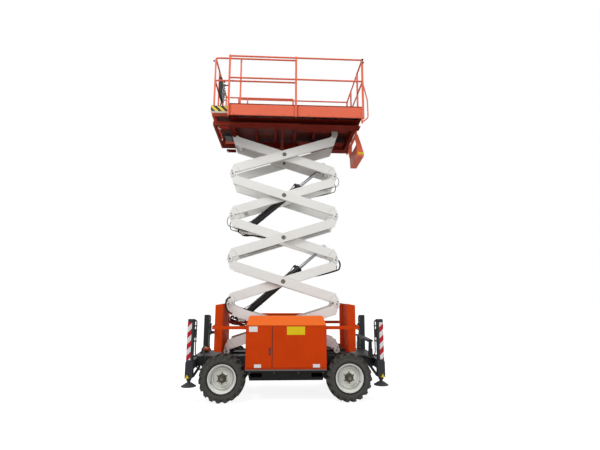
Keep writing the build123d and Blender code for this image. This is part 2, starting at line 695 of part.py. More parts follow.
with BuildPart() as platform_frame:
    # Two long channels, open outwards, in which the roll-out deck's members slide.
    with BuildSketch(Plane.YZ.offset(platform_front_x + 9)):
        with BuildLine():
            Polyline((-beam_outer_y, beam_bottom_z), (-beam_inner_y, beam_bottom_z),
                     (-beam_inner_y, beam_top_z), (-beam_outer_y, beam_top_z),
                     (-beam_outer_y, beam_top_z - beam_sheet),
                     (-beam_inner_y - beam_sheet, beam_top_z - beam_sheet),
                     (-beam_inner_y - beam_sheet, beam_bottom_z + beam_sheet),
                     (-beam_outer_y, beam_bottom_z + beam_sheet), close=True)
        make_face()
        mirror(about=Plane.YZ)
    extrude(amount=platform_rear_x - platform_front_x - 20)
    # Z-section floor joists across both channels.
    for step in range(7):
        x = platform_front_x + 30 + step * joist_spacing
        with BuildSketch(Plane.XZ.offset(-joist_half_length)):
            with BuildLine():
                foot_z = beam_top_z + beam_sheet
                Polyline((x, floor_top_z - floor_sheet), (x, beam_top_z), (x + joist_width, beam_top_z),
                         (x + joist_width, foot_z), (x + beam_sheet, foot_z),
                         (x + beam_sheet, floor_top_z - floor_sheet), close=True)
            make_face()
        extrude(amount=2 * joist_half_length)
    # Cross ties between the channels, and the header that carries the fixed pivots.
    for x, low, high in ((-120, beam_bottom_z, beam_bottom_z + 30), (1385, beam_bottom_z, beam_top_z),
                         (left_pin_x, header_bottom_z, header_bottom_z + 80)):
        block((x - 30, x + 30), (-beam_inner_y - 1, beam_inner_y + 1), (low, high))
    # Pivot plates either side of the topmost arms' bosses.
    arm_outer_y = inner_arm_y + arm_width
    for inner_face in (2 - inner_arm_y, -arm_outer_y - 12, inner_arm_y - 12, arm_outer_y + 2):
        with BuildSketch(Plane.XZ.offset(-inner_face)):
            with BuildLine():
                Polyline((left_pin_x - 66, header_bottom_z + 1), (left_pin_x - 48, platform_pin_z),
                         (left_pin_x + 48, platform_pin_z), (left_pin_x + 66, header_bottom_z + 1),
                         close=True)
            make_face()
            with Locations((left_pin_x, platform_pin_z)):
                Circle(50)
        extrude(amount=-10)
    for low in (-arm_outer_y - 16, inner_arm_y - 16):
        cross_bar(left_pin_x, platform_pin_z, low, low + arm_width + 32, side_pin_radius)
    # Tracks that rest on the sliding saddles.
    for side in (-1, 1):
        track_faces = sorted((side * 284, side * (beam_inner_y + 1)))
        block((250, 1310), track_faces, (slider_top_z + 1, slider_top_z + 9))
finish(platform_frame, "platform_frame")

with BuildPart() as platform_floor:
    floor_half_width = platform_half_width - panel_sheet - 1
    block((platform_front_x + 9, platform_rear_x - 11), (-floor_half_width, floor_half_width),
          (floor_top_z - floor_sheet, floor_top_z))
finish(platform_floor, "platform_floor")

with BuildPart() as side_panels:
    # Folded edge panels on both sides and across the rear, below the gate.
    edge = platform_half_width
    with BuildSketch(Plane.YZ.offset(platform_front_x)):
        with BuildLine():
            Polyline((-edge, panel_bottom_z), (-edge, panel_top_z), (-edge + 34, panel_top_z),
                     (-edge + 34, panel_top_z - 5), (-edge + panel_sheet, panel_top_z - 5),
                     (-edge + panel_sheet, panel_bottom_z + 5), (-edge + 30, panel_bottom_z + 5),
                     (-edge + 30, panel_bottom_z), close=True)
        make_face()
        mirror(about=Plane.YZ)
    extrude(amount=platform_rear_x - platform_front_x)
    for y_low, y_high, high in ((-edge + panel_sheet, -376, panel_top_z), (-376, 376, floor_top_z),
                                (376, edge - panel_sheet, panel_top_z)):
        block((platform_rear_x - panel_sheet, platform_rear_x), (y_low, y_high), (panel_bottom_z, high))
finish(side_panels, "side_panels")

# ---------------------------------------------------------------- guard rails
rail_size = 38
rail_tube_width = 34
post_y = platform_half_width + rail_size / 2 + 1
post_bottom_z = panel_bottom_z - 26
post_x = (-1200, 146, 1508)
gate_post_y = 384
end_rail_x = post_x[2]
rail_heights = (top_rail_z - rail_size / 2, mid_rail_z)

for side, label in ((-1, "near"), (1, "far")):
    with BuildPart() as guard_rail:
        for x in post_x:
            block((x - rail_size / 2, x + rail_size / 2),
                  sorted((side * (post_y - rail_size / 2), side * (post_y + rail_size / 2))),
                  (post_bottom_z, top_rail_z))
        for z in rail_heights:
            bent_tube(((post_x[0], side * post_y, z), (end_rail_x, side * post_y, z),
                       (end_rail_x, side * gate_post_y, z)), 40, rail_tube_width)
        gate_post_faces = (side * (gate_post_y - 17), side * (gate_post_y + 17))
        block((end_rail_x - 17, end_rail_x + 17), sorted(gate_post_faces), (post_bottom_z, top_rail_z))
        # Bent grab loop outside the rear corner, on a bracket under the panel.
        loop = ((end_rail_x + 4, 6180), (end_rail_x + 90, 5800), (end_rail_x + 96, 5420), (1477, 5318))
        bent_tube([(x, side * post_y, z) for x, z in loop], 90, 26, section_x=(0, 1, 0))
        block((1467, 1497), sorted((side * (edge + 1), side * (post_y + 13))), (5302, 5430))
    finish(guard_rail, f"guard_rail_{label}")

with BuildPart() as entry_gate:
    # Half-height double-rail gate between its two posts.
    reach_y = gate_post_y - 36
    gate_stile_radius = 14
    for z in rail_heights:
        cross_bar(end_rail_x, z, -reach_y, reach_y, gate_stile_radius + 1)
    for y in (-reach_y, reach_y):
        with Locations((end_rail_x, y, (top_rail_z + floor_top_z + 40) / 2)):
            Cylinder(gate_stile_radius, top_rail_z - floor_top_z - 60)
    block((end_rail_x - 3, end_rail_x + 3), (-reach_y, reach_y), (floor_top_z + 10, floor_top_z + 140))
finish(entry_gate, "entry_gate")

with BuildPart() as hanging_step:
    # Two bent stringers with a riser and a tread between them.
    stringer_y = 410
    tread_z = 4786
    for inner_face in (-stringer_y, stringer_y - 6):
        with BuildSketch(Plane.XZ.offset(-inner_face)):
            with BuildLine():
                Polyline((1425, 5278), (1490, 5278), (1559, 5050), (1612, 4855), (1608, tread_z),
                         (1466, tread_z), (1459, 5004), (1424, 5178), close=True)
            make_face()
        extrude(amount=-6)
    block((1466, 1608), (-stringer_y + 6, stringer_y - 6), (tread_z, tread_z + 6))
    block((1463, 1469), (-stringer_y + 6, stringer_y - 6), (tread_z, tread_z + 284))
    block((1425, 1485), (-stringer_y + 6, stringer_y - 6), (5272, 5278))
finish(hanging_step, "hanging_step")

# ---------------------------------------------------------------- roll-out deck
rollout_floor_z = floor_top_z + 6
rollout_floor_half_width = rollout_half_width - 29
rollout_rear_x = 160
member_y = (beam_inner_y + 17, beam_inner_y + 87)
member_z = (5300, 5384)
member_front_x = -1535
skirt_z = (5485, 5635)
skirt_rear_x = -1210
skirt_sheet = 5

with BuildPart() as rollout_deck:
    block((rollout_front_x, rollout_rear_x), (-rollout_floor_half_width, rollout_floor_half_width),
          (rollout_floor_z, rollout_floor_z + 10))
    # Skirt round the part that stands proud of the main deck.
    outer, inner = rollout_half_width, rollout_half_width - skirt_sheet
    with BuildSketch(Plane.XY.offset(skirt_z[0])):
        with BuildLine():
            Polyline((rollout_front_x, -outer), (skirt_rear_x, -outer), (skirt_rear_x, -inner),
                     (rollout_front_x + skirt_sheet, -inner), (rollout_front_x + skirt_sheet, inner),
                     (skirt_rear_x, inner), (skirt_rear_x, outer), (rollout_front_x, outer), close=True)
        make_face()
    extrude(amount=skirt_z[1] - skirt_z[0])
    block((rollout_front_x, skirt_rear_x - 6), (-inner, inner), (skirt_z[0], skirt_z[0] + 6))
    for side in (-1, 1):
        # Sliding member inside the channel, hung from the front of the deck.
        member_faces = sorted((side * member_y[0], side * member_y[1]))
        block((member_front_x, 250), member_faces, member_z)
        block((rollout_front_x, rollout_front_x + 60), member_faces, (member_z[1] - 1, skirt_z[0] + 1))
        # Low kerb along the edge of the moving floor.
        kerb_faces = (side * (rollout_floor_half_width - 4), side * rollout_floor_half_width)
        block((skirt_rear_x + 4, rollout_rear_x), sorted(kerb_faces),
              (rollout_floor_z, rollout_floor_z + 80))
        # Bracket of the front bumper.
        block((-1545, rollout_front_x + 1), sorted((side * 500, side * 524)), (5526, 5574))
    block((member_front_x, member_front_x + 40), (-member_y[1], member_y[1]), member_z)
    # Bumper bar across the front.
    block((-1573, -1541), (-660, 660), (5520, 5580))
    fillet(edges().filter_by(Axis.Y).group_by(Axis.X)[0], 8)
finish(rollout_deck, "rollout_deck")

rollout_post_x = (-980, 143)
rollout_rail_heights = (6686, 6186)
with BuildPart() as rollout_rails:
    run_y = rollout_half_width - 2
    front_x = rollout_front_x + 15
    for z in rollout_rail_heights:
        bent_tube(((rollout_post_x[1], -run_y, z), (front_x, -run_y, z), (front_x, run_y, z),
                   (rollout_post_x[1], run_y, z)), 60, rail_tube_width)
    for side in (-1, 1):
        for x in rollout_post_x:
            block((x - 15, x + 15), sorted((side * (rollout_floor_half_width + 1), side * (run_y + 18))),
                  (rollout_floor_z + 10, rollout_rail_heights[0]))
        block((front_x - 15, front_x + 15), sorted((side * (run_y - 29), side * (run_y + 6))),
              (skirt_z[1], rollout_rail_heights[0] - 16))
        block((front_x - 15, front_x + 15), sorted((side * 300, side * 330)),
              (skirt_z[1], rollout_rail_heights[0]))
finish(rollout_rails, "rollout_rails")

with BuildPart() as control_box:
    back_x = front_x + 19
    with BuildSketch(Plane.XZ.offset(100)):
        with BuildLine():
            Polyline((back_x, 6500), (back_x + 71, 6460), (back_x + 85, 6280), (back_x + 61, 6070),
                     (back_x, 6070), close=True)
        make_face()
    extrude(amount=350)
    fillet(edges().filter_by(Axis.Y), 8)
finish(control_box, "control_box")
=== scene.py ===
"""Looks of a rough-terrain scissor lift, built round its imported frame.

Metres, +Z up, +X towards the rear, -X towards the steered axle, -Y the near side.
"""

import json
import math
from functools import partial

import bmesh
import bpy
from mathutils import Matrix, Vector


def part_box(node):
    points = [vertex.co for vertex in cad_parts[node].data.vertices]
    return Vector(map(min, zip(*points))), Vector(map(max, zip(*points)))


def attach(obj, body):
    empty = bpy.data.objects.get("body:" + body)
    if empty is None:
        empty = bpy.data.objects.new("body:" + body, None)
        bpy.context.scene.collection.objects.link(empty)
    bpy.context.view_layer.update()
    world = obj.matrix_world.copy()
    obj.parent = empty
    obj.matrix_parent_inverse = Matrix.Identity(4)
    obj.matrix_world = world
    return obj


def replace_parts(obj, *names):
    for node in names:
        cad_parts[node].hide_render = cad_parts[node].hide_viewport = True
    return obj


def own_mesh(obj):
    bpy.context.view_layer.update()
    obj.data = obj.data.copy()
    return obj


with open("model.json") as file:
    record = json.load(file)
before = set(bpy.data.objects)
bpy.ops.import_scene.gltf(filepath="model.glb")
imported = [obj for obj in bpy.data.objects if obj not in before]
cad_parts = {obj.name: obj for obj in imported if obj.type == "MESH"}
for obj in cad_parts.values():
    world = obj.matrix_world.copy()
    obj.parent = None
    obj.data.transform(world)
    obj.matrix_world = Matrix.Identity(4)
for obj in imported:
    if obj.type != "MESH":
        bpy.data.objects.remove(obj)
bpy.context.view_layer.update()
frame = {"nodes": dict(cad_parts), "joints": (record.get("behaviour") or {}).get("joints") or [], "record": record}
joints = {joint["name"]: joint for joint in frame["joints"]}

X, Y, Z = Vector((1, 0, 0)), Vector((0, 1, 0)), Vector((0, 0, 1))
SIDES = (("near", -1), ("far", 1))
ENDS = (("front", -1), ("rear", 1))
WHEELS = [(f"{end}_{label}", way, side) for end, way in ENDS for label, side in SIDES]


# ---------------- shader helpers
def feed(tree, socket, value):
    """Link an input to another node's output, or set its value."""
    if isinstance(value, bpy.types.NodeSocket):
        tree.links.new(value, socket)
    else:
        socket.default_value = value


def add_node(tree, kind, output, feeds=None, **settings):
    """Make a node, set its attributes, feed its inputs and give one of its outputs."""
    node = tree.nodes.new("ShaderNode" + kind)
    for key, value in settings.items():
        setattr(node, key, value)
    for socket, value in (feeds or {}).items():
        feed(tree, node.inputs[socket], value)
    return node.outputs[output]


class Shader:
    """A node material under construction, with its Principled BSDF at hand."""

    def __init__(self, name, colour, roughness, metallic=0.0):
        self.material = bpy.data.materials.new(name)
        self.material.use_nodes = True
        self.tree = self.material.node_tree
        self.bsdf = self.tree.nodes["Principled BSDF"]
        self.set("Base Color", (*colour, 1.0))
        self.set("Roughness", roughness)
        self.set("Metallic", metallic)
        self.place = self.add("TexCoord", "Object")

    def add(self, kind, output, feeds=None, **settings):
        """Make a node in the material's tree and give one of its outputs."""
        return add_node(self.tree, kind, output, feeds, **settings)

    def set(self, socket, value):
        """Set or link one input of the Principled BSDF."""
        feed(self.tree, self.bsdf.inputs[socket], value)

    def noise(self, scale, detail=4.0, roughness=0.6, stretch=(1, 1, 1)):
        """Noise over the object's own coordinates, 0 to 1."""
        place = self.add("Mapping", "Vector", {"Scale": stretch, "Vector": self.place})
        feeds = {"Vector": place, "Scale": scale, "Detail": detail, "Roughness": roughness}
        return self.add("TexNoise", "Fac", feeds)

    def remap(self, value, low, high, to_low=0.0, to_high=1.0):
        """Map a value from one range to another, clamped."""
        return self.add("MapRange", "Result", {
            "From Min": low, "From Max": high, "To Min": to_low, "To Max": to_high, "Value": value})

    def math(self, operation, *values):
        """Combine values, each a socket or a number."""
        return self.add("Math", "Value", dict(enumerate(values)), operation=operation)

    def axis(self, letter, space=None):
        """One coordinate of the object's own space, or of another vector."""
        return self.add("SeparateXYZ", letter, {"Vector": space or self.place})

    def facing_up(self, low=0.35, high=0.95):
        """0 where the normal's Z is at low and 1 where it is at high; negative limits mean down."""
        return self.remap(self.axis("Z", self.add("NewGeometry", "Normal")), low, high)

    def crevices(self, reach):
        """1 in corners and close gaps, 0 in the open."""
        return self.remap(self.add("AmbientOcclusion", "AO", {"Distance": reach}, samples=8), 0.92, 0.45)

    def edges(self, width):
        """1 along edges and corners, fading out over the width."""
        rounded = self.add("Bevel", "Normal", {"Radius": width}, samples=4)
        feeds = {0: rounded, 1: self.add("NewGeometry", "Normal")}
        return self.remap(self.add("VectorMath", "Value", feeds, operation="DOT_PRODUCT"), 0.995, 0.9)

    def blend(self, factor, colour):
        """Lay a colour over the base colour by a factor."""
        base = self.bsdf.inputs["Base Color"]
        under = base.links[0].from_socket if base.links else base.default_value
        feeds = {"Factor": factor, "A": under, "B": (*colour, 1.0)}
        self.set("Base Color", self.add("Mix", "Result", feeds, data_type="RGBA"))

    def finish(self, grain, smooth, coarse, relief, strength, distance, specular=None):
        """Vary roughness with a grain, add a bump, set the specular level and give the material."""
        self.set("Roughness", self.remap(grain, 0.3, 0.7, smooth, coarse))
        feeds = {"Strength": strength, "Distance": distance, "Height": relief}
        self.set("Normal", self.add("Bump", "Normal", feeds))
        if specular is not None:
            self.set("Specular IOR Level", specular)
        return self.material


DUST = (0.42, 0.38, 0.32)
PRIMER = (0.18, 0.16, 0.15)
# colour of the painted shade in corners and close gaps
CREVICE_SHADE = (0.1, 0.085, 0.07)


def paint(name, colour, roughness, dust=0.25, wear=0.35, mottle=0.06, specular=0.12, lit_top=None, shade_and_grime=0.45):
    """Sprayed paint: slight colour drift, orange peel, dust on top faces, rubbed edges, painted shade in corners
    and close gaps, and a painted highlight on faces that look up when its colour is given.
    """
    shade = Shader(name, colour, roughness)
    darker = tuple(channel * (1 - mottle * 2.5) for channel in colour)
    shade.blend(shade.remap(shade.noise(1.7, 5), 0.35, 0.75, 0, 0.9), darker)
    # painted highlight: faces that look up take a lighter colour
    if lit_top:
        shade.blend(shade.facing_up(0.2, 0.8), lit_top)
    grain = shade.noise(9.0, 8, 0.7)
    settled = shade.math("MULTIPLY", shade.facing_up(), shade.remap(grain, 0.35, 0.8))
    shade.blend(shade.math("MULTIPLY", settled, dust), DUST)
    if wear:
        chips = shade.remap(shade.noise(38.0, 6, 0.75), 0.52, 0.62)
        rubbed = shade.math("MULTIPLY", shade.edges(0.004), chips)
        shade.blend(shade.math("MULTIPLY", rubbed, wear), PRIMER)
    # painted shade: darker in corners and close gaps, by ambient occlusion
    shade.blend(shade.math("MULTIPLY", shade.crevices(0.035), shade_and_grime), CREVICE_SHADE)
    peel = shade.noise(420.0, 2)
    return shade.finish(grain, roughness - 0.07, roughness + 0.14, peel, 0.05, 0.002, specular)


DECK_SKIRT_Z = 5.48                  # below this the deck is coloured dark red, painted shade
DECK_WELL_X, DECK_WELL_Y = -1.49, 0.66    # front and side limits of the nearly black painted shade in the middle of its underside


def deck_paint(name):
    """Paint of the roll-out deck: salmon skirt, grey top, and painted shade below it, dark red low down and nearly
    black in the middle underneath.
    """
    shade = Shader(name, SALMON, 0.55)
    shade.blend(shade.facing_up(0.2, 0.8), (0.27, 0.25, 0.23))
    # painted shade: dark red below the skirt
    low_part = shade.math("LESS_THAN", shade.axis("Z"), DECK_SKIRT_Z)
    shade.blend(shade.math("MULTIPLY", low_part, 0.9), DARK_RED)
    # painted shade: nearly black in the middle of the underside, with the outer rim underneath kept salmon
    below = shade.facing_up(-0.3, -0.8)
    from_middle = shade.math("ABSOLUTE", shade.axis("Y"))
    inside = shade.math("MULTIPLY", shade.math("LESS_THAN", from_middle, DECK_WELL_Y),
                        shade.math("GREATER_THAN", shade.axis("X"), DECK_WELL_X))
    shade.blend(shade.math("MULTIPLY", shade.math("MULTIPLY", inside, below), 0.92), (0.03, 0.012, 0.01))
    rim = shade.math("MULTIPLY", below, shade.math("GREATER_THAN", from_middle, DECK_WELL_Y))
    shade.blend(shade.math("MULTIPLY", rim, 0.8), SALMON)
    grain = shade.noise(9.0, 8, 0.7)
    return shade.finish(grain, 0.5, 0.7, shade.noise(420.0, 2), 0.05, 0.002, 0.06)


def worn_metal(name, colour, roughness, metallic=1.0, shade_and_grime=0.5):
    """Bare or plated metal with smears and grime in patches."""
    shade = Shader(name, colour, roughness, metallic)
    smear = shade.noise(30.0, 6, 0.7, (1, 1, 0.3))
    shade.blend(shade.remap(smear, 0.5, 0.8, 0, shade_and_grime), (0.05, 0.045, 0.04))
    return shade.finish(smear, roughness * 0.7, roughness * 1.5, shade.noise(160.0, 3), 0.08, 0.001)


def rubber(name, colour, roughness=0.75, dust=0.5):
    """Dull rubber with pale dust worked into it."""
    shade = Shader(name, colour, roughness)
    speck = shade.noise(24.0, 8, 0.75)
    shade.blend(shade.remap(speck, 0.42, 0.75, 0, dust), (0.24, 0.22, 0.19))
    relief = shade.noise(140.0, 6, 0.7)
    return shade.finish(speck, roughness - 0.08, roughness + 0.15, relief, 0.25, 0.002, 0.25)


def hazard_stripes(name, first, second, pitch, lean):
    """Two colours in slanted bands of equal width; lean -1 rises towards +X, 1 towards -X."""
    shade = Shader(name, first, 0.42)
    slant = shade.math("ADD", shade.math("MULTIPLY", shade.axis("X"), lean), shade.axis("Z"))
    wave = shade.math("FRACT", shade.math("DIVIDE", slant, pitch))
    shade.blend(shade.math("GREATER_THAN", wave, 0.5), second)
    grain = shade.noise(60.0, 6, 0.7)
    shade.blend(shade.remap(grain, 0.55, 0.8, 0, 0.35), DUST)
    return shade.finish(grain, 0.35, 0.6, shade.noise(300.0, 2), 0.05, 0.001, 0.2)


def chequer_plate(name, colour):
    """Painted steel floor with raised crossed bars, its faces that don't look up coloured dark red as painted
    shade.
    """
    shade = Shader(name, colour, 0.45)
    waves = []
    for turn in (math.radians(45), math.radians(-45)):
        turned = shade.add("Mapping", "Vector", {"Rotation": (0, 0, turn), "Vector": shade.place})
        feeds = {"Vector": turned, "Scale": 26.0, "Mortar Size": 0.09, "Mortar Smooth": 0.6,
                 "Color1": (1, 1, 1, 1), "Color2": (0, 0, 0, 1), "Mortar": (0, 0, 0, 1)}
        waves.append(shade.add("TexBrick", "Color", feeds, offset=0.5))
    top = shade.facing_up()
    raised = shade.math("MULTIPLY", shade.math("MAXIMUM", *waves), top)
    scuff = shade.noise(14.0, 8, 0.7)
    shade.blend(shade.remap(scuff, 0.45, 0.75, 0, 0.6), (0.16, 0.13, 0.11))
    # painted shade: faces that don't look up turn dark red
    shade.blend(shade.math("SUBTRACT", 1.0, top), (0.11, 0.016, 0.01))
    return shade.finish(scuff, 0.45, 0.75, raised, 0.5, 0.003, 0.2)


ORANGE = (0.72, 0.06, 0.004)
SALMON = (0.86, 0.175, 0.095)
# dark red is painted shade, for parts under the platform
DARK_RED = (0.21, 0.017, 0.008)
CREAM = (0.92, 0.905, 0.86)
CHARCOAL = (0.04, 0.043, 0.047)
UNDERSIDE = "platform_underside_paint"

materials = {
    # the base's orange is lighter on faces that look up, a painted highlight
    "base_paint": paint("base_orange", ORANGE, 0.6, dust=0.02, specular=0.06, lit_top=(0.98, 0.19, 0.03)),
    "platform_paint": paint("platform_salmon", SALMON, 0.5, dust=0.08, mottle=0.05),
    # painted shade: the platform's underside parts are coloured dark red
    UNDERSIDE: paint("platform_dark_red", DARK_RED, 0.6, dust=0.02, mottle=0.1, specular=0.04),
    "arm_paint": paint("arm_cream", CREAM, 0.4, dust=0.06, wear=0.4, mottle=0.02),
    "slider_paint": paint("slider_khaki", (0.56, 0.54, 0.47), 0.5, shade_and_grime=0.7),
    "rim_paint": paint("rim_cream", (0.9, 0.9, 0.84), 0.42, dust=0.08, wear=0.4, mottle=0.03, shade_and_grime=0.2),
    "chassis_paint": paint("chassis_charcoal", CHARCOAL, 0.45, dust=0.1, wear=0.2),
    "tyre_wall": rubber("tyre_wall", (0.056, 0.054, 0.046), dust=0.3),
    "deck_red": deck_paint("deck_red"),
    # painted shade: the fork tray, charcoal like the chassis, is made nearly black for the shade it sits in
    "tray_black": paint("tray_black", (0.012, 0.012, 0.011), 0.6, dust=0.06, wear=0.15),
    "cylinder_paint": paint("cylinder_black", (0.01, 0.01, 0.01), 0.3, dust=0.03, specular=0.3),
    "engine_paint": paint("engine_grey", (0.05, 0.05, 0.055), 0.6),
    "floor_plate": chequer_plate("floor_chequer", (0.33, 0.31, 0.29)),
    "rod_chrome": worn_metal("rod_chrome", (0.3, 0.31, 0.32), 0.22, shade_and_grime=0.3),
    "box_plastic": rubber("box_black", (0.014, 0.014, 0.015), 0.5, 0.1),
    "tyre": rubber("tyre_rubber", (0.04, 0.039, 0.034), dust=0.35),
    "hose": rubber("hose_black", (0.008, 0.008, 0.009), 0.45, 0.08),
    "hose_pale": rubber("hose_pale", (0.62, 0.61, 0.57), 0.5, 0.3),
    "hose_red": rubber("hose_red", (0.26, 0.015, 0.008), 0.5, 0.1),
    "zinc_pale": worn_metal("zinc_pale", (0.62, 0.61, 0.58), 0.5, 0.4, shade_and_grime=0.3),
    "zinc": worn_metal("zinc_plate", (0.5, 0.48, 0.44), 0.38),
    "hub_dark": worn_metal("hub_dark", (0.05, 0.045, 0.035), 0.45, 0.5),
    "pin_brown": worn_metal("pin_brown", (0.17, 0.145, 0.1), 0.45, 0.4, shade_and_grime=0.3),
    "lip_grey": paint("lip_grey", (0.16, 0.155, 0.145), 0.5, dust=0.2),
    "pin_dark": worn_metal("pin_dark", (0.07, 0.06, 0.055), 0.4, 0.7),
    "yellow": paint("safety_yellow", (0.9, 0.64, 0.015), 0.5, wear=0.2, dust=0.1),
    "white": paint("label_white", (0.92, 0.92, 0.9), 0.5, wear=0, dust=0.1),
    "foot_stripes": hazard_stripes("stripes_red_white", (0.8, 0.79, 0.77), (0.5, 0.01, 0.022), 0.2, -1),
    "stop_red": paint("stop_red", (0.55, 0.01, 0.01), 0.35, wear=0),
    "deck_stripes": hazard_stripes("stripes_yellow_black", (0.8, 0.6, 0.05), (0.03, 0.028, 0.024), 0.135, 1),
}

finish_of = {entry["node"]: entry["material_slot"] for entry in frame["record"]["subparts"]}
# the fork tray takes the nearly black painted shade
finish_of.update(fork_tray="tray_black", rollout_deck="deck_red")
for node, thing in frame["nodes"].items():
    thing.data.materials.clear()
    thing.data.materials.append(materials[finish_of[node]])


def put(name, data):
    """Make an object of some data and put it into the scene."""
    thing = bpy.data.objects.new(name, data)
    bpy.context.scene.collection.objects.link(thing)
    return thing


def put_part(name, data, material, body):
    """Put a mesh into the scene with its material and body."""
    thing = put(name, data)
    data.materials.append(materials[material])
    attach(thing, body)
    return thing


def piece(name, mesh, material, body, smooth=False, bevel=0.0):
    """Turn a bmesh into an object of its own that rides on a body."""
    data = bpy.data.meshes.new(name)
    bmesh.ops.recalc_face_normals(mesh, faces=mesh.faces[:])
    mesh.to_mesh(data)
    mesh.free()
    if smooth:
        data.shade_smooth()
    thing = put_part(name, data, material, body)
    if bevel:
        edge = thing.modifiers.new("edges", "BEVEL")
        edge.width = bevel
        edge.segments = 2
        edge.limit_method = "ANGLE"
    return thing


def box_in(mesh, low, high):
    """Add a box between two corners."""
    low, high = Vector(low), Vector(high)
    for vertex in bmesh.ops.create_cube(mesh, size=1)["verts"]:
        vertex.co = Vector(((vertex.co[i] + 0.5) * (high[i] - low[i]) + low[i]) for i in range(3))


def block_in(mesh, middle, size):
    """Add a box about its middle."""
    middle, half = Vector(middle), Vector(size) / 2
    box_in(mesh, middle - half, middle + half)


def disc_in(mesh, centre, axis, radius, length, sides=20, far_radius=None):
    """Add a solid cylinder or cone whose middle is at centre."""
    turn = Vector(axis).to_track_quat("Z", "Y").to_matrix().to_4x4()
    matrix = Matrix.Translation(centre) @ turn
    bmesh.ops.create_cone(mesh, cap_ends=True, segments=sides, radius1=radius,
                          radius2=radius if far_radius is None else far_radius, depth=length, matrix=matrix)


def lathe_in(mesh, centre, axis, outline, steps=48):
    """Revolve (offset along the axis, radius) pairs about an axis; ends at radius 0 close themselves."""
    turn = Vector(axis).to_track_quat("Z", "Y").to_matrix()
    rings = []
    for offset, radius in outline:
        ring = []
        for step in range(steps if radius > 0 else 1):
            angle = 2 * math.pi * step / steps
            spot = Vector((radius * math.cos(angle), radius * math.sin(angle), offset))
            ring.append(mesh.verts.new(Vector(centre) + turn @ spot))
        rings.append(ring)
    for first, second in zip(rings, rings[1:]):
        for step in range(steps):
            following = (step + 1) % steps
            corners = [first[step % len(first)], first[following % len(first)],
                       second[following % len(second)], second[step % len(second)]]
            distinct = list(dict.fromkeys(corners))
            if len(distinct) > 2:
                mesh.faces.new(distinct)


def bolt_in(mesh, centre, axis, size, head=0.6):
    """Add a hexagon head on its washer; size is the width of the head."""
    axis = Vector(axis).normalized()
    disc_in(mesh, Vector(centre) + axis * size * 0.06, axis, size * 0.72, size * 0.12, 18)
    disc_in(mesh, Vector(centre) + axis * size * (0.12 + head / 2), axis, size * 0.56, size * head, 6)


def tube(name, points, width, material, body):
    """A round hose or bar along a smooth curve through given points."""
    curve = bpy.data.curves.new(name, "CURVE")
    curve.dimensions = "3D"
    curve.bevel_depth = width / 2
    curve.bevel_resolution = 3
    curve.use_fill_caps = True
    spline = curve.splines.new("NURBS")
    spline.points.add(len(points) - 1)
    for target, spot in zip(spline.points, points):
        target.co = (*spot, 1)
    spline.order_u = 3
    spline.use_endpoint_u = True
    spline.resolution_u = 6
    holder = put(name + "_curve", curve)
    bpy.context.view_layer.update()
    data = bpy.data.meshes.new_from_object(holder)
    bpy.data.objects.remove(holder)
    data.name = name
    data.materials.clear()
    data.shade_smooth()
    return put_part(name, data, material, body)


def middle_of(node):
    """Middle of a CAD node's box."""
    low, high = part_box(node)
    return (low + high) / 2


# ---------------- tyres
TYRE_HALF = (                # (offset from the mid plane, radius), from the middle of the tread to the bead
    (0.0, 0.386), (0.06, 0.384), (0.115, 0.377), (0.134, 0.364), (0.144, 0.345), (0.148, 0.315),
    (0.142, 0.279), (0.13, 0.261), (0.116, 0.254))
TYRE_CARCASS = tuple((-offset, radius) for offset, radius in TYRE_HALF[:0:-1]) + TYRE_HALF
LUGS = 19                            # on each side of the tread
TYRE_STEPS = 72                      # corners in each ring of a tyre
TREAD_RADIUS = 0.4185


def tread_radius_at(offset):
    """Outer radius of a lug at an offset from the mid plane."""
    return TREAD_RADIUS - 0.01 * (abs(offset) / 0.13) ** 4


def lug_in(mesh, hub, angle, side):
    """One slanted lug, from past the middle of the tread down over the shoulder."""
    spine = (                # (offset, angle lag, half width, outer radius, inner radius)
        (-0.018, 0.0, 0.022, None, 0.38), (0.03, 0.055, 0.023, None, 0.38),
        (0.085, 0.105, 0.026, None, 0.372), (0.126, 0.128, 0.029, 0.41, 0.362),
        (0.1475, 0.134, 0.029, 0.388, 0.344), (0.1495, 0.136, 0.027, 0.352, 0.334))
    rows = []
    for offset, lag, half, outer, inner in spine:
        outer = outer or tread_radius_at(offset)
        row = []
        for radius, shrink in ((outer, 0.0), (inner, -0.004)):
            for sign in (-1, 1):
                theta = angle + lag + sign * (half - shrink) / radius
                spot = Vector((radius * math.cos(theta), side * offset, radius * math.sin(theta)))
                row.append(mesh.verts.new(hub + spot))
        rows.append(row)
    for first, second in zip(rows, rows[1:]):
        mesh.faces.new((first[0], first[1], second[1], second[0]))
        mesh.faces.new((first[1], first[3], second[3], second[1]))
        mesh.faces.new((first[0], second[0], second[2], first[2]))
    for end in (rows[0], rows[-1]):
        mesh.faces.new((end[0], end[1], end[3], end[2]))


def make_tyres():
    """Lugged tyres in place of the plain ones, with raised rings on both sidewalls."""
    for wheel, _, side in WHEELS:
        node = f"tyre_{wheel}"
        hub = middle_of(node)
        mesh = bmesh.new()
        lathe_in(mesh, hub, Y, [(offset * side, radius) for offset, radius in TYRE_CARCASS], TYRE_STEPS)
        for face in (-1, 1):
            for radius in (0.296, 0.324):
                ring = [(face * (0.1435 + rise), radius + spread)
                        for rise, spread in ((0, -0.006), (0.0045, -0.003), (0.0045, 0.003), (0, 0.006))]
                lathe_in(mesh, hub, Y, ring, TYRE_STEPS)
        for lug in range(LUGS):
            angle = 2 * math.pi * lug / LUGS
            lug_in(mesh, hub, angle, 1)
            lug_in(mesh, hub, angle + math.pi / LUGS, -1)
        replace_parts(piece(f"lugged_{node}", mesh, "tyre", f"wheel_{wheel}", bevel=0.002), node)


def wall_offset(radius):
    """Offset of the tyre's sidewall from the mid plane at a radius."""
    for (at_high, high), (at_low, low) in zip(TYRE_HALF, TYRE_HALF[1:]):
        if low <= radius <= high:
            return at_low + (at_high - at_low) * (radius - low) / (high - low)
    raise ValueError(f"no sidewall at radius {radius}")


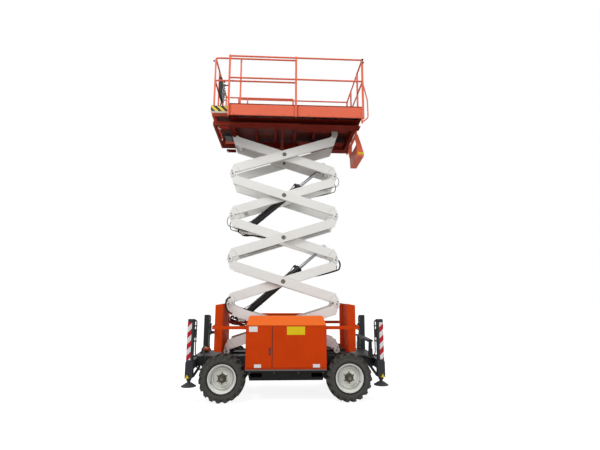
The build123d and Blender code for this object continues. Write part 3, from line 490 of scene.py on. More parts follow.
def make_tyre_walls():
    """Smooth ribbed band of each sidewall and a raised ring round the rim flange, black as painted shadow of the
    rim's lip.
    """
    rings = (                # (name, material, (radius, rise above the sidewall))
        # the bead ring is black, a painted shadow of the rim's lip
        ("bead", "hose", ((0.256, -0.004), (0.26, 0.002), (0.27, 0.003), (0.28, 0.002), (0.284, -0.004))),
        ("band", "tyre_wall", (
            (0.282, -0.004), (0.29, 0.003), (0.3, 0.0045), (0.312, 0.004), (0.324, 0.004), (0.336, 0.005),
            (0.346, 0.0035), (0.352, -0.006))))
    for wheel, _, side in WHEELS:
        for way, face in ((side, "outer"), (-side, "inner")):
            for ring, material, outline in rings:
                mesh = bmesh.new()
                lathe_in(mesh, middle_of(f"tyre_{wheel}"), Y * way,
                         [(wall_offset(radius) + rise, radius) for radius, rise in outline], TYRE_STEPS)
                piece(f"tyre_{ring}_{wheel}_{face}", mesh, material, f"wheel_{wheel}", smooth=True)


def make_hubs():
    """Studs, hub cap and valve on the outer side of each rim."""
    for wheel, x_side, side in WHEELS:
        hub, out, body = middle_of(f"rim_{wheel}"), Y * side, f"wheel_{wheel}"
        mesh = bmesh.new()
        lathe_in(mesh, hub, out, (
            (0.05, 0.072), (0.135, 0.06), (0.15, 0.056), (0.156, 0.046), (0.157, 0)), 32)
        piece(f"hub_cap_{wheel}", mesh, "hub_dark", body, smooth=True, bevel=0.003)
        mesh = bmesh.new()
        disc_in(mesh, hub + out * 0.16, out, 0.03, 0.008, 24, 0.026)
        piece(f"hub_plug_{wheel}", mesh, "pin_brown", body, bevel=0.001)
        mesh = bmesh.new()
        for stud in range(6):
            angle = math.radians(60 * stud + 30)
            ray = Vector((math.cos(angle), 0, math.sin(angle)))
            disc_in(mesh, hub + ray * 0.09 + out * 0.06, ray, 0.016, 0.042, 6, 0.006)
            disc_in(mesh, hub + ray * 0.086 + out * 0.06, out, 0.011, 0.05, 10)
        lathe_in(mesh, hub, out, ((0.04, 0.082), (0.052, 0.08), (0.058, 0.07)), 40)
        piece(f"wheel_nuts_{wheel}", mesh, "pin_brown", body)
        mesh = bmesh.new()
        lathe_in(mesh, hub, out, (
            (0.03, 0.166), (0.056, 0.17), (0.06, 0.176), (0.056, 0.182), (0.03, 0.186)), 56)
        piece(f"rim_bead_{wheel}", mesh, "rim_paint", body, smooth=True)
        mesh = bmesh.new()
        disc_in(mesh, hub + Vector((0.2 * x_side, 0, -0.075)) + out * 0.05, out, 0.006, 0.05, 8)
        piece(f"valve_{wheel}", mesh, "hose", body)


# ---------------- scissor stack
LIFT = math.radians(22.469)          # pin line above level at rest
FLAT = math.radians(5.1)             # pin line above the tube
SPAN = 2.311                         # between an arm's two end pins
RUN, PITCH = SPAN * math.cos(FLAT), SPAN * math.sin(FLAT)
TUBE_LOW = (PITCH - 0.18) / 2        # lower edge of the tube, above the lower pin
OUTER_Y, INNER_Y = 0.3, 0.216        # middles of the outer and inner tubes
PIN_RADIUS, CENTRE_PIN_RADIUS, EYE_RADIUS = 0.0262, 0.034, 0.05
OUTER_ARMS = ("a1", "b2", "a3", "b4", "a5")
INNER_ARMS = ("b1", "a2", "b3", "a4", "b5")
base_pin = Vector(joints["lift"]["pos_m"])
far_pin_x = joints["side_pivot_1"]["pos_m"][0]
stage_rise = joints["side_pivot_1"]["pos_m"][2] - base_pin.z


def arm_axes(arm):
    """Lower pin, direction along the tube and direction square to it, in the pose at rest."""
    lean = 1 if arm[0] == "a" else -1
    pin = Vector((base_pin.x if lean > 0 else far_pin_x, 0, base_pin.z + (int(arm[1]) - 1) * stage_rise))
    slope = LIFT - FLAT
    run, rise = math.cos(slope), math.sin(slope)
    return pin, Vector((lean * run, 0, rise)), Vector((-lean * rise, 0, run))


def on_arm(arm, along, up, y):
    """A place on an arm, from its lower pin along the tube, square to the tube and across."""
    pin, run, rise = arm_axes(arm)
    return pin + run * along + rise * up + Y * y


def slab_in(mesh, arm, along, up, across):
    """Add a box laid along an arm, given its (low, high) range in each direction."""
    corners = [mesh.verts.new(on_arm(arm, a, u, y)) for y in across for u in up for a in along]
    for face in ((0, 1, 3, 2), (4, 6, 7, 5), (0, 4, 5, 1), (2, 3, 7, 6), (0, 2, 6, 4), (1, 5, 7, 3)):
        mesh.faces.new([corners[index] for index in face])


def pin_head_in(mesh, centre, side, radius):
    """Add the dished end of a pin, facing along Y."""
    lathe_in(mesh, centre, Y * side, (
        (-0.006, 0), (-0.006, radius), (0.001, radius), (0.0025, radius - 0.002), (0.0025, radius * 0.5),
        (0.0005, radius * 0.42), (0.0005, 0)), 24)


def make_pins():
    """Pin heads, keeper plates and centre pins of every arm."""
    for arm in OUTER_ARMS + INNER_ARMS:
        face = OUTER_Y if arm in OUTER_ARMS else INNER_Y
        heads, keepers, dark = bmesh.new(), bmesh.new(), bmesh.new()
        for _, side in SIDES:
            for y, outward in ((face + 0.0825, side), (face - 0.0145, -side)):
                pin_head_in(heads, on_arm(arm, 0, 0, side * y), outward, PIN_RADIUS)
                disc_in(dark, on_arm(arm, 0, 0, side * y + outward * 0.0014), Y * outward, 0.0125, 0.004, 20)
            lug = side * (face + 0.076)
            slab_in(keepers, arm, (-0.01, 0.01), (0.024, 0.07), sorted((lug, lug + side * 0.004)))
            bolt_in(dark, on_arm(arm, 0, 0.056, lug + side * 0.004), Y * side, 0.014)
        piece(f"pin_heads_{arm}", heads, "zinc_pale", f"arm_{arm}", bevel=0.0008)
        piece(f"pin_keepers_{arm}", keepers, "arm_paint", f"arm_{arm}", bevel=0.001)
        piece(f"pin_bolts_{arm}", dark, "pin_dark", f"arm_{arm}")
    for arm in INNER_ARMS:
        mesh, rings = bmesh.new(), bmesh.new()
        for _, side in SIDES:
            spot = on_arm(arm, RUN / 2, PITCH / 2, side * 0.3705)
            pin_head_in(mesh, spot, side, CENTRE_PIN_RADIUS)
            disc_in(mesh, spot + Y * side * 0.004, Y * side, 0.01, 0.006, 6)
            lathe_in(rings, spot, Y * side, (
                (-0.0055, 0.034), (-0.0055, 0.042), (-0.003, 0.042), (0.0005, 0.04), (0.0005, 0.034)), 32)
            back = on_arm(arm, RUN / 2, PITCH / 2, side * (INNER_Y - 0.001))
            pin_head_in(mesh, back, -side, CENTRE_PIN_RADIUS)
        piece(f"centre_pins_{arm}", mesh, "pin_brown", f"arm_{arm}", bevel=0.0008)
        piece(f"centre_rings_{arm}", rings, "pin_dark", f"arm_{arm}")


def make_hoses():
    """Hoses that leave the joints, bow round the arms' ends and run under the inner arms."""
    bow = (                  # (along from the upper pin, up from the tube's lower edge)
        (-0.02, 0.205), (0.045, 0.2), (0.07, 0.13), (0.062, 0.05), (0.01, -0.012), (-0.08, -0.018),
        (-0.2, -0.014), (-0.34, -0.006), (-0.46, 0.004))
    for arm, thick in (("a2", 0.034), ("b3", 0.014), ("a4", 0.012)):
        for label, lane, width in (("near", -0.24, thick), ("far", 0.25, 0.017)):
            line = [on_arm(arm, RUN + along, TUBE_LOW + up, lane) for along, up in bow]
            hose = tube(f"joint_hose_{label}_{arm}", line[:5], width, "hose", f"arm_{arm}")
            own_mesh(hose)
            hose = tube(f"edge_hose_{label}_{arm}", line[4:], width, "hose", f"arm_{arm}")
            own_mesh(hose)
    arc = ((-1.09, 1.85), (-1.15, 1.825), (-1.176, 1.775), (-1.178, 1.7), (-1.166, 1.63), (-1.12, 1.56),
           (-1.05, 1.53))
    for label, side in SIDES:
        tube(f"joint_arc_{label}", [(x, side * 0.402, z) for x, z in arc], 0.034, "hose", "arm_b1")
    sway = ((0.16, 0.02), (0.34, 0), (0.7, 0.004), (1.05, -0.006), (1.45, 0.004), (1.8, 0), (2.14, 0.02))
    for arm in INNER_ARMS:
        clips = bmesh.new()
        for lane, material in enumerate(("hose", "hose_red", "hose")):
            line = [on_arm(arm, along, TUBE_LOW + 0.032 + dip, -0.196 + lane * 0.019) for along, dip in sway]
            tube(f"arm_hose_{arm}_{lane}", line, 0.015, material, f"arm_{arm}")
        for along in (0.3, 0.85, 1.45, 2.02):
            for low, high, inner in ((0.044, 0.047, -0.216), (0.012, 0.046, -0.149)):
                slab_in(clips, arm, (along - 0.014, along + 0.014), (TUBE_LOW + low, TUBE_LOW + high),
                        (inner, -0.146))
        piece(f"arm_clips_{arm}", clips, "zinc", f"arm_{arm}")


def make_conduits():
    """Pale conduits side by side along the inner side of the far long arm, under clamps."""
    clamps = bmesh.new()
    for lane in range(4):
        up = TUBE_LOW + 0.034 + lane * 0.04
        line = [on_arm("a3", along, up, 0.287) for along in (0.14, 0.5, 1.0, 1.5, 1.9, 2.2)]
        conduit = tube(f"conduit_{lane}", line, 0.026, "hose_pale", "arm_a3")
        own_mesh(conduit)
    for along in (0.3, 0.85, 1.4, 1.95):
        slab_in(clamps, "a3", (along - 0.012, along + 0.012), (TUBE_LOW + 0.004, TUBE_LOW + 0.158),
                (0.271, 0.2745))
    piece("conduit_clamps", clamps, "zinc_pale", "arm_a3")


NESTS = (                    # (arm, cylinder, ((width, material, places from the foot pin), ...)) in mm
    ("b1", "lower", (
        (26, "hose_red", ((-50, -130, 60), (-160, -140, 30), (-250, -130, -50), (-180, -150, -130),
            (-40, -140, -140), (100, -130, -190))),
        (22, "hose", ((-20, -120, 40), (-130, -120, 60), (-270, -150, -20), (-240, -160, -120),
            (-100, -120, -160), (50, -150, -150))),
        (20, "hose_red", ((20, -150, -20), (-80, -160, -60), (-140, -170, -100), (-50, -160, -150),
            (120, -140, -200))),
        (22, "hose", ((-40, 120, 50), (-200, 130, 20), (-270, 120, -70), (-120, 140, -140),
            (100, 130, -180))),
        (20, "hose", ((-60, -170, 0), (-200, -170, -30), (-220, -120, -110), (-20, -110, -170),
            (140, -160, -210))),
        (30, "hose_red", ((-200, -100, 10), (-120, -120, -40), (-20, -130, -80), (60, -120, -110),
            (140, -130, -170))),
        (28, "hose", ((-240, -90, -30), (-150, -100, -90), (-50, -110, -50), (40, -100, -20),
            (80, -120, -100))),
        (26, "hose_red", ((-230, 50, -60), (-120, 40, -120), (-20, 50, -100), (50, 30, -50))))),
    ("b3", "upper", (
        (26, "hose", ((-30, -130, -40), (-70, -150, -100), (20, -160, -135), (160, -150, -120),
            (280, -140, -135), (440, -140, -160))),
        (20, "hose", ((-10, -150, -30), (-30, -160, -90), (60, -170, -120), (220, -160, -115),
            (420, -150, -155))))))


def make_hose_nests():
    """Loops of hose at the foot of each lift cylinder, hung from the arm that carries it."""
    for arm, label, routes in NESTS:
        foot, _, _ = cylinder_axes(label)
        for index, (width, material, route) in enumerate(routes):
            points = [foot + Vector(spot) / 1000 for spot in route]
            loop = tube(f"nest_{arm}_{index}", points, width / 1000, material, f"arm_{arm}")
            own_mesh(loop)
        mesh = bmesh.new()
        box_in(mesh, foot + Vector((-0.075, -0.165, -0.085)), foot + Vector((0.06, -0.11, -0.02)))
        for step in range(3):
            disc_in(mesh, foot + Vector((-0.05 + step * 0.045, -0.168, -0.05)), Y, 0.012, 0.02, 6)
        block = piece(f"hose_block_{arm}", mesh, "zinc", f"arm_{arm}", bevel=0.003)
        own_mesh(block)


def cylinder_axes(label):
    """Foot pin of a lift cylinder, direction along it and direction square to it."""
    run = Vector(joints[f"{label}_rod_slide"]["axis"])
    return Vector(joints[f"{label}_cylinder_pivot"]["pos_m"]), run, Vector((-run.z, 0, run.x))


def on_cylinder(label, along, up=0.0, y=0.0):
    """A place on a lift cylinder, from its foot pin along it, above it and across."""
    foot, run, rise = cylinder_axes(label)
    return foot + run * along + rise * up + Y * y


def rod_eye(label):
    """Middle of the eye at the upper end of a lift cylinder's rod."""
    _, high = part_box(f"lift_rod_{label}")
    return Vector((high.x - EYE_RADIUS, 0, high.z - EYE_RADIUS))


def make_cylinder_parts():
    """Ports, hard lines, hoses and gland of both lift cylinders, and the collars of their rods."""
    for label in ("lower", "upper"):
        _, run, rise = cylinder_axes(label)
        body, at = f"lift_cylinder_{label}", partial(on_cylinder, label)
        mesh = bmesh.new()
        for along, reach in ((0.105, 0.03), (1.475, 0.032)):
            block = at(along, 0.062)
            disc_in(mesh, block + rise * reach / 2, rise, 0.034, reach + 0.02, 6)
            disc_in(mesh, block + rise * (reach + 0.012) - run * 0.012, run, 0.014, 0.05, 6)
        for along in (0.45, 0.8, 1.15):
            lathe_in(mesh, at(along), run, (
                (-0.012, 0.0665), (-0.012, 0.07), (0.012, 0.07), (0.012, 0.0665)), 32)
            disc_in(mesh, at(along, 0.078), Y, 0.011, 0.05, 8)
        piece(f"cylinder_ports_{label}", mesh, "cylinder_paint", body, bevel=0.002)
        line = [at(along, up, 0.012) for along, up in (
            (1.45, 0.1), (1.4, 0.098), (1.34, 0.073), (1.15, 0.072), (0.45, 0.072), (0.24, 0.073),
            (0.18, 0.098), (0.125, 0.1))]
        tube(f"cylinder_line_{label}", line, 0.016, "hose", body)
        gland = bmesh.new()
        lathe_in(gland, at(1.525), run, ((-0.002, 0.066), (0.004, 0.064), (0.01, 0.05), (0.01, 0.0345)), 40)
        for stud in range(8):
            angle = 2 * math.pi * stud / 8
            ray = rise * math.cos(angle) + Y * math.sin(angle)
            disc_in(gland, at(1.527) + ray * 0.058, run, 0.008, 0.014, 6)
        piece(f"cylinder_gland_{label}", gland, "pin_dark", body)
        hoses = ((0.045, 0.02, "hose"), (-0.045, 0.02, "hose"), (0.02, 0.016, "hose_red"))
        for lane, (y, width, material) in enumerate(hoses):
            points = [at(along, up, y + sway) for along, up, sway in (
                (0.09, 0.08, 0), (0.05, 0.125, 0.01), (-0.06, 0.15 - lane * 0.02, 0.02),
                (-0.13, 0.085, 0.02), (-0.1, 0.01, 0.01))]
            loop = tube(f"foot_hose_{label}_{lane}", points, width, material, body)
            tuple(at(0, 0.05))
            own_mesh(loop)
        mesh = bmesh.new()
        lathe_in(mesh, rod_eye(label) - run * 0.1, run, (
            (-0.03, 0.0335), (-0.03, 0.044), (0.03, 0.048), (0.06, 0.046), (0.06, 0.0335)), 32)
        piece(f"rod_collar_{label}", mesh, "cylinder_paint", f"lift_rod_{label}")


def make_lug_plugs():
    """Pin ends in the lugs that carry the rods."""
    for arm, label in (("b3", "lower"), ("b5", "upper")):
        mesh = bmesh.new()
        for _, side in SIDES:
            pin_head_in(mesh, rod_eye(label) + Y * (side * 0.2105), side, 0.0235)
        piece(f"rod_pin_ends_{label}", mesh, "pin_dark", f"arm_{arm}")


DOOR_FACE = 0.87                     # outer face of the hood doors, from the mid plane
FOOT_LABEL_X = ((-0.578, -0.452), (0.481, 0.607))


def label_in(mesh, side, face, across, height, thick=0.0012):
    """Add a thin plate on a face that looks to one side of the machine."""
    near, far = sorted((face * side, (face + thick) * side))
    box_in(mesh, (across[0], near, height[0]), (across[1], far, height[1]))


def make_hood_trim():
    """Latches, hinges, painted shade at the door gaps and blank labels of the hoods, and the lip of the tray below
    them.
    """
    for label, side in SIDES:
        for part, spot in (("front", -0.3), ("rear", 0.655)):
            body = f"hood_door_{label}_{part}"
            hinge_x = joints[f"{body}_hinge"]["pos_m"][0]
            mesh = bmesh.new()
            for height in (0.7, 0.97, 1.24):
                for step in (-0.03, 0.0, 0.03):
                    disc_in(mesh, (hinge_x, side * 0.8715, height + step), Z, 0.0065, 0.027, 12)
                label_in(mesh, side, 0.8695, sorted((hinge_x * 0.985, hinge_x * 0.93)),
                         (height - 0.035, height + 0.035), 0.0025)
            piece(f"hinges_{body}", mesh, "base_paint", body, bevel=0.0008)
            if part == "front":
                # painted shade: dark strips in the gap between front and rear doors and on the face beside it
                mesh = bmesh.new()
                label_in(mesh, side, 0.843, (-0.2548, -0.25), (0.609, 1.331), 0.0265)
                label_in(mesh, side, DOOR_FACE, (-0.263, -0.2552), (0.609, 1.331), 0.001)
                piece(f"door_gap_shade_{body}", mesh, "box_plastic", body)
            if body != "hood_door_near_rear":    # the photo shows no latch on this door
                mesh, paddle = bmesh.new(), bmesh.new()
                label_in(mesh, side, DOOR_FACE, (spot - 0.0165, spot + 0.0165), (0.826, 0.956), 0.0018)
                label_in(paddle, side, 0.8718, (spot - 0.008, spot + 0.008), (0.842, 0.925), 0.004)
                disc_in(paddle, (spot, side * 0.8735, 0.941), Y * side, 0.006, 0.004, 16)
                piece(f"latch_{body}", mesh, "box_plastic", body, bevel=0.0006)
                piece(f"paddle_{body}", paddle, "pin_dark", body, bevel=0.0008)
        pads = bmesh.new()
        for name, part, across, height, colour in (
                ("blank", "front", (-0.684, -0.528), (1.232, 1.327), "white"),
                ("blank", "rear", (0.006, 0.336), (1.178, 1.326), "yellow"),
                ("foot", "front", FOOT_LABEL_X[0], (0.609, 0.667), "white"),
                ("foot", "rear", FOOT_LABEL_X[1], (0.609, 0.667), "white")):
            mesh = bmesh.new()
            label_in(mesh, side, DOOR_FACE, across, height)
            piece(f"{name}_label_{label}_{part}", mesh, colour, f"hood_door_{label}_{part}")
        for across in FOOT_LABEL_X:
            middle = sum(across) / 2
            label_in(pads, side, 0.8655, (middle - 0.02, middle + 0.02), (0.592, 0.6), 0.003)
        label_in(pads, side, 0.865, (-0.7, 0.7), (0.553, 0.576), 0.0025)
        for across in ((-0.735, -0.7), (0.7, 0.73)):
            label_in(pads, side, 0.85, across, (0.553, 0.574), 0.015)
        piece(f"tray_lip_{label}", pads, "lip_grey", "chassis", bevel=0.001)
        mesh = bmesh.new()
        for along in (-0.66, -0.22, 0.22, 0.66):
            bolt_in(mesh, (along, side * 0.865, 0.52), Y * side, 0.018)
        piece(f"tray_bolts_{label}", mesh, "pin_dark", "chassis")


def make_jack_trim():
    """Striped plates, warning triangles, hoses, switches and bolts of the four jacks."""
    for end, way in ENDS:
        mesh, dark, triangles = bmesh.new(), bmesh.new(), bmesh.new()
        for label, side in SIDES:
            label_in(mesh, side, 0.8575, sorted((way * 1.712, way * 1.787)), (0.745, 1.4))
            corners = ((way * 1.718, 0.434), (way * 1.788, 0.434), (way * 1.753, 0.496))
            near, out = (
                [triangles.verts.new((x, side * y, z)) for x, z in corners] for y in (0.868, 0.8695))
            triangles.faces.new(near)
            triangles.faces.new(out)
            for first in range(3):
                after = (first + 1) % 3
                triangles.faces.new((near[first], near[after], out[after], out[first]))
            block_in(dark, (way * 1.648, side * 0.8, 1.2), (0.036, 0.05, 0.15))
            for height in (1.33, 1.06, 0.8):
                block_in(dark, (way * 1.655, side * 0.75, height), (0.03, 0.06, 0.022))
            disc_in(dark, (way * 1.668, side * 0.79, 1.425), X, 0.016, 0.03, 6)
            for height in (1.436, 0.7, 0.56):
                bolt_in(dark, (way * 1.7, side * 0.857, height), Y * side, 0.016)
            for lane, (y, width) in enumerate(((0.742, 0.018), (0.762, 0.016))):
                line = [(way * x, side * (y + sway), z) for x, sway, z in (
                    (1.668, 0.03, 1.425), (1.648, 0.01, 1.43), (1.646, 0, 1.37), (1.652, 0, 1.2),
                    (1.65, 0, 0.98), (1.652, 0, 0.86), (1.64, -0.04, 0.79), (1.62, -0.16, 0.755),
                    (1.6, -0.34, 0.742), (1.61, -0.5, 0.742))]
                tube(f"jack_hose_{end}_{label}_{lane}", line, width, "hose", "chassis")
        piece(f"jack_stripes_{end}", mesh, "foot_stripes", "chassis")
        piece(f"jack_triangles_{end}", triangles, "yellow", "chassis")
        piece(f"jack_fittings_{end}", dark, "box_plastic", "chassis", bevel=0.0012)


def make_front_valves():
    """Jack valve block with its orange motor, and the bracket behind it."""
    base, motor, fittings = bmesh.new(), bmesh.new(), bmesh.new()
    for middle, size in (
            ((-1.64, 0.15, 0.745), (0.13, 0.26, 0.04)), ((-1.655, 0.045, 0.79), (0.06, 0.05, 0.05)),
            ((-1.655, 0.265, 0.785), (0.055, 0.06, 0.05)), ((-1.47, 0.5, 1.105), (0.22, 0.06, 0.055)),
            ((-1.585, 0.5, 1.105), (0.012, 0.11, 0.1))):
        block_in(base, middle, size)
    for y in (0.045, 0.245, 0.285):
        disc_in(base, (-1.655, y, 0.832), Z, 0.014, 0.045, 6)
    piece("valve_base", base, "box_plastic", "chassis", bevel=0.003)
    lathe_in(motor, (-1.7, 0.12, 0.8), X, (
        (0, 0), (0.0, 0.034), (0.008, 0.04), (0.06, 0.04), (0.064, 0.037), (0.068, 0.04), (0.12, 0.04),
        (0.124, 0.037), (0.128, 0.04), (0.142, 0.04), (0.15, 0.032), (0.15, 0)), 36)
    piece("valve_motor", motor, "base_paint", "chassis", smooth=True)
    lathe_in(fittings, (-1.632, 0.12, 0.8), X, ((0, 0.039), (0, 0.044), (0.014, 0.044), (0.014, 0.039)), 36)
    block_in(fittings, (-1.64, 0.12, 0.845), (0.085, 0.05, 0.016))
    for x, y in ((-1.685, 0.07), (-1.625, 0.07), (-1.685, 0.235), (-1.625, 0.235)):
        disc_in(fittings, (x, y, 0.792), Z, 0.008, 0.04, 6)
        disc_in(fittings, (x, y, 0.815), Z, 0.011, 0.014, 6)
    piece("valve_fittings", fittings, "zinc_pale", "chassis")
    for lane, (start, end) in enumerate(((0.045, -0.3), (0.245, 0.4), (0.285, 0.48), (0.07, -0.42))):
        line = [(-1.655, start, 0.845), (-1.65, start, 0.885),
                (-1.62, (start * 2 + end) / 3, 0.89 - lane * 0.01),
                (-1.59, (start + end * 2) / 3, 0.8), (-1.57, end, 0.752)]
        tube(f"valve_hose_{lane}", line, 0.018, "hose_red" if lane == 2 else "hose", "chassis")


def make_step_tread():
    """Tread and leg plates of the step between the rear jacks."""
    mesh, treads = bmesh.new(), bmesh.new()
    block_in(mesh, (1.595, 0, 1.04), (0.105, 1.2, 0.036))
    for side in (-1, 1):
        for width, middle, height in ((0.07, 0.8225, 0.155), (0.05, 0.961, 0.122)):
            block_in(mesh, (1.6, side * 0.61, middle), (width, 0.012, height))
    for row in range(24):
        for column in range(3):
            disc_in(treads, (1.563 + column * 0.032, -0.575 + row * 0.05, 1.0595), Z, 0.008, 0.004, 12, 0.005)
    piece("rear_tread", mesh, "chassis_paint", "chassis", bevel=0.003)
    piece("rear_tread_studs", treads, "chassis_paint", "chassis")


SKIRT_FACE = 0.828                   # outer face of the roll-out deck's skirt, from the mid plane
ROLLER_Y, ROLLER_Z = 0.648, 5.238    # middle of the rollers under the deck


def make_platform_trim():
    """Striped skirt of the roll-out deck, painted shadow lines under the panels' top lips, rollers, knobs and step
    strip.
    """
    for label, side in SIDES:
        for band, material, height, thick in (
                ("stripes", "deck_stripes", (5.515, 5.628), 0.001),
                ("edge", "box_plastic", (5.628, 5.635), 0.0012),
                ("foot", "slider_paint", (5.482, 5.515), 0.001)):
            mesh = bmesh.new()
            label_in(mesh, side, SKIRT_FACE, (-1.56, -1.205), height, thick)
            piece(f"skirt_{band}_{label}", mesh, material, "rollout")
        # painted shadow: a dark red strip along the top of the side panel, under its lip
        mesh = bmesh.new()
        label_in(mesh, side, 0.8895, (-1.18, 1.484), (5.648, 5.6672), 0.0016)
        piece(f"panel_lip_shadow_{label}", mesh, UNDERSIDE, "platform")
        mesh = bmesh.new()
        for along in (-1.1, -0.6, -0.1, 0.4, 0.9, 1.4):
            bolt_in(mesh, (along, side * 0.89, 5.45), Y * side, 0.016)
        piece(f"panel_bolts_{label}", mesh, "platform_paint", "platform")
        rollers, arms = bmesh.new(), bmesh.new()
        lathe_in(rollers, (-1.395, side * ROLLER_Y, ROLLER_Z), Y, (
            (-0.026, 0), (-0.026, 0.022), (-0.02, 0.026), (0.02, 0.026), (0.026, 0.022), (0.026, 0)), 28)
        for y in (0.612, 0.684):
            block_in(arms, (-1.305, side * y, 5.24), (0.21, 0.008, 0.052))
        for x in (-1.395, -1.255):
            disc_in(arms, (x, side * ROLLER_Y, ROLLER_Z), Y, 0.009, 0.094, 12)
        piece(f"rollers_{label}", rollers, "zinc_pale", "platform")
        # the roller arms take the dark red painted shade of the underside
        piece(f"roller_arms_{label}", arms, UNDERSIDE, "platform", bevel=0.001)
    knobs = bmesh.new()
    for x, z in ((1.517, 6.687), (1.526, 6.619)):
        disc_in(knobs, (x, -0.934, z), Y, 0.018, 0.026, 20, 0.015)
        disc_in(knobs, (x, -0.918, z), Y, 0.008, 0.03, 12)
    piece("rail_knobs", knobs, "box_plastic", "platform", bevel=0.002)
    knobs, strip, hangers = bmesh.new(), bmesh.new(), bmesh.new()
    for side in (-1, 1):
        disc_in(knobs, (-1.534, side * 0.832, 6.615), X, 0.018, 0.028, 20, 0.014)
        block_in(strip, (1.545, side * 0.4108, 4.855), (0.12, 0.0016, 0.045))
        block_in(hangers, (1.452, side * 0.398, 5.3), (0.05, 0.012, 0.12))
        for height in (5.275, 5.335):
            bolt_in(hangers, (1.452, side * 0.404, height), Y * side, 0.018)
    block_in(strip, (1.6128, 0, 4.83), (0.0016, 0.7, 0.03))
    piece("rollout_knobs", knobs, "box_plastic", "rollout", bevel=0.002)
    piece("step_strips", strip, "yellow", "platform")
    piece("step_hangers", hangers, "platform_paint", "platform", bevel=0.001)
    box = bmesh.new()
    block_in(box, (-1.27, -0.15, 5.247), (0.13, 0.29, 0.075))
    block_in(box, (-1.338, -0.15, 5.247), (0.006, 0.25, 0.055))
    for y in (-0.25, -0.15, -0.05):
        disc_in(box, (-1.345, y, 5.247), X, 0.013, 0.016, 20)
    piece("deck_box", box, "box_plastic", "platform", bevel=0.002)


def make_controls():
    """Switches, joystick, stop button and cable of the platform control box."""
    low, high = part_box("control_box")
    middle = (low + high) / 2
    grips, faces, red = bmesh.new(), bmesh.new(), bmesh.new()
    for column in range(4):
        for row in range(3):
            spot = (high.x + 0.003, low.y + 0.055 + column * 0.078, low.z + 0.1 + row * 0.085)
            disc_in(faces, spot, X, 0.013, 0.008, 20)
            disc_in(grips, (spot[0] + 0.012, spot[1], spot[2]), X, 0.005, 0.022, 10)
    lathe_in(grips, (high.x, middle.y + 0.05, high.z - 0.075), X, (
        (0, 0), (0, 0.03), (0.008, 0.028), (0.02, 0.016), (0.04, 0.01), (0.06, 0.016), (0.085, 0.018),
        (0.095, 0.012), (0.097, 0)), 24)
    lathe_in(red, (high.x, middle.y - 0.09, high.z - 0.075), X, (
        (0, 0), (0, 0.012), (0.016, 0.012), (0.018, 0.021), (0.03, 0.021), (0.036, 0.012), (0.037, 0)), 24)
    for name, mesh, material in (
            ("control_faces", faces, "zinc_pale"), ("control_grips", grips, "box_plastic"),
            ("stop_button", red, "stop_red")):
        piece(name, mesh, material, "rollout")
    line = [(low.x + x, middle.y + y, low.z + z) for x, y, z in (
        (0.04, 0, 0.004), (0.04, 0, -0.06), (-0.01, 0.04, -0.2), (-0.02, 0.05, -0.36))]
    line.append((low.x + 0.02, middle.y + 0.06, 5.645))
    tube("control_cable", line, 0.022, "hose", "rollout")


for make in (make_tyres, make_tyre_walls, make_hubs, make_pins, make_hoses, make_conduits, make_hose_nests,
             make_cylinder_parts, make_lug_plugs, make_hood_trim, make_jack_trim, make_front_valves,
             make_step_tread, make_platform_trim, make_controls):
    make()


# ---------------- stage, light and camera
FLOOR_GLOW = 0.86                    # added to the lit floor, which brings it to white
LAMP_TARGET = Vector((0, 0, 2.5))
CAMERA_PLACE = (-0.1499, -8.3088, 1.8818)


def seen_directly(tree):
    """1 for what the camera, mirrors and glass see, 0 for light that bounces."""
    seen = add_node(tree, "LightPath", "Is Camera Ray")
    rays = seen.node.outputs
    for kind in ("Is Glossy Ray", "Is Transmission Ray"):
        seen = add_node(tree, "Math", "Value", {0: seen, 1: rays[kind]}, operation="MAXIMUM")
    return seen


def add_glow(shade):
    """Lift a lit floor to white for the eye, keeping the shadows on it."""
    level = shade.math("MULTIPLY", seen_directly(shade.tree), FLOOR_GLOW)
    glow = shade.add("Emission", "Emission", {"Strength": level})
    both = shade.add("AddShader", "Shader", {0: shade.bsdf.outputs["BSDF"], 1: glow})
    feed(shade.tree, shade.tree.nodes["Material Output"].inputs["Surface"], both)


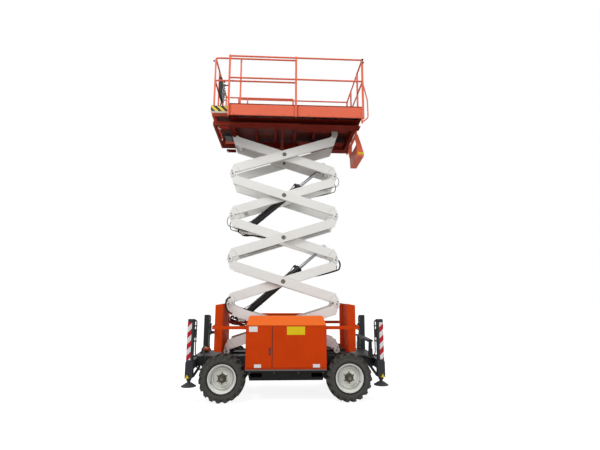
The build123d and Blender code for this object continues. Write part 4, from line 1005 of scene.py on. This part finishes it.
def make_stage():
    """Pale floor, white surroundings and soft studio light."""
    mesh = bmesh.new()
    bmesh.ops.create_grid(mesh, x_segments=1, y_segments=1, size=60)
    data = bpy.data.meshes.new("studio_floor")
    mesh.to_mesh(data)
    mesh.free()
    floor = put("studio_floor", data)
    shade = Shader("studio_floor", (0.5, 0.5, 0.5), 0.95)
    shade.set("Specular IOR Level", 0.0)
    add_glow(shade)
    data.materials.append(shade.material)

    world = bpy.data.worlds.new("studio")
    bpy.context.scene.world = world
    world.use_nodes = True
    tree = world.node_tree
    sky = tree.nodes["Background"]
    sky.inputs["Color"].default_value = (0.93, 0.96, 1.0, 1)
    sky.inputs["Strength"].default_value = 0.42
    white = add_node(tree, "Background", "Background", {"Color": (1, 1, 1, 1), "Strength": 1.0})
    mix = add_node(tree, "MixShader", "Shader", {"Fac": seen_directly(tree), 1: sky.outputs[0], 2: white})
    feed(tree, tree.nodes["World Output"].inputs["Surface"], mix)

    lamps = (                # (name, place, size, watts)
        ("key", (-6, -8, 13), 7, 1080), ("fill", (8, -10, 5), 8, 330), ("back", (2, 10, 12), 8, 420))
    for name, place, size, watts in lamps:
        data = bpy.data.lights.new(name, "AREA")
        data.size = size
        data.energy = watts
        lamp = put(name, data)
        lamp.location = place
        lamp.rotation_euler = (LAMP_TARGET - Vector(place)).to_track_quat("-Z", "Y").to_euler()


def make_camera():
    """Camera 1.9 m up on the near side, a little left of the middle, looking up."""
    yaw, pitch, roll = 0.052, 0.1767, 0.0035
    ahead = Vector((math.sin(yaw) * math.cos(pitch), math.cos(yaw) * math.cos(pitch), math.sin(pitch)))
    right = Vector((math.cos(yaw), -math.sin(yaw), 0))
    up = right.cross(ahead)
    axes = Matrix((right * math.cos(roll) + up * math.sin(roll), up * math.cos(roll) - right * math.sin(roll),
                   -ahead)).transposed()
    data = bpy.data.cameras.new("camera")
    data.lens = 23.735
    data.sensor_width = 36
    camera = put("camera", data)
    camera.matrix_world = Matrix.Translation(CAMERA_PLACE) @ axes.to_4x4()
    bpy.context.scene.camera = camera


make_stage()
make_camera()
bpy.context.scene.view_settings.view_transform = "Standard"
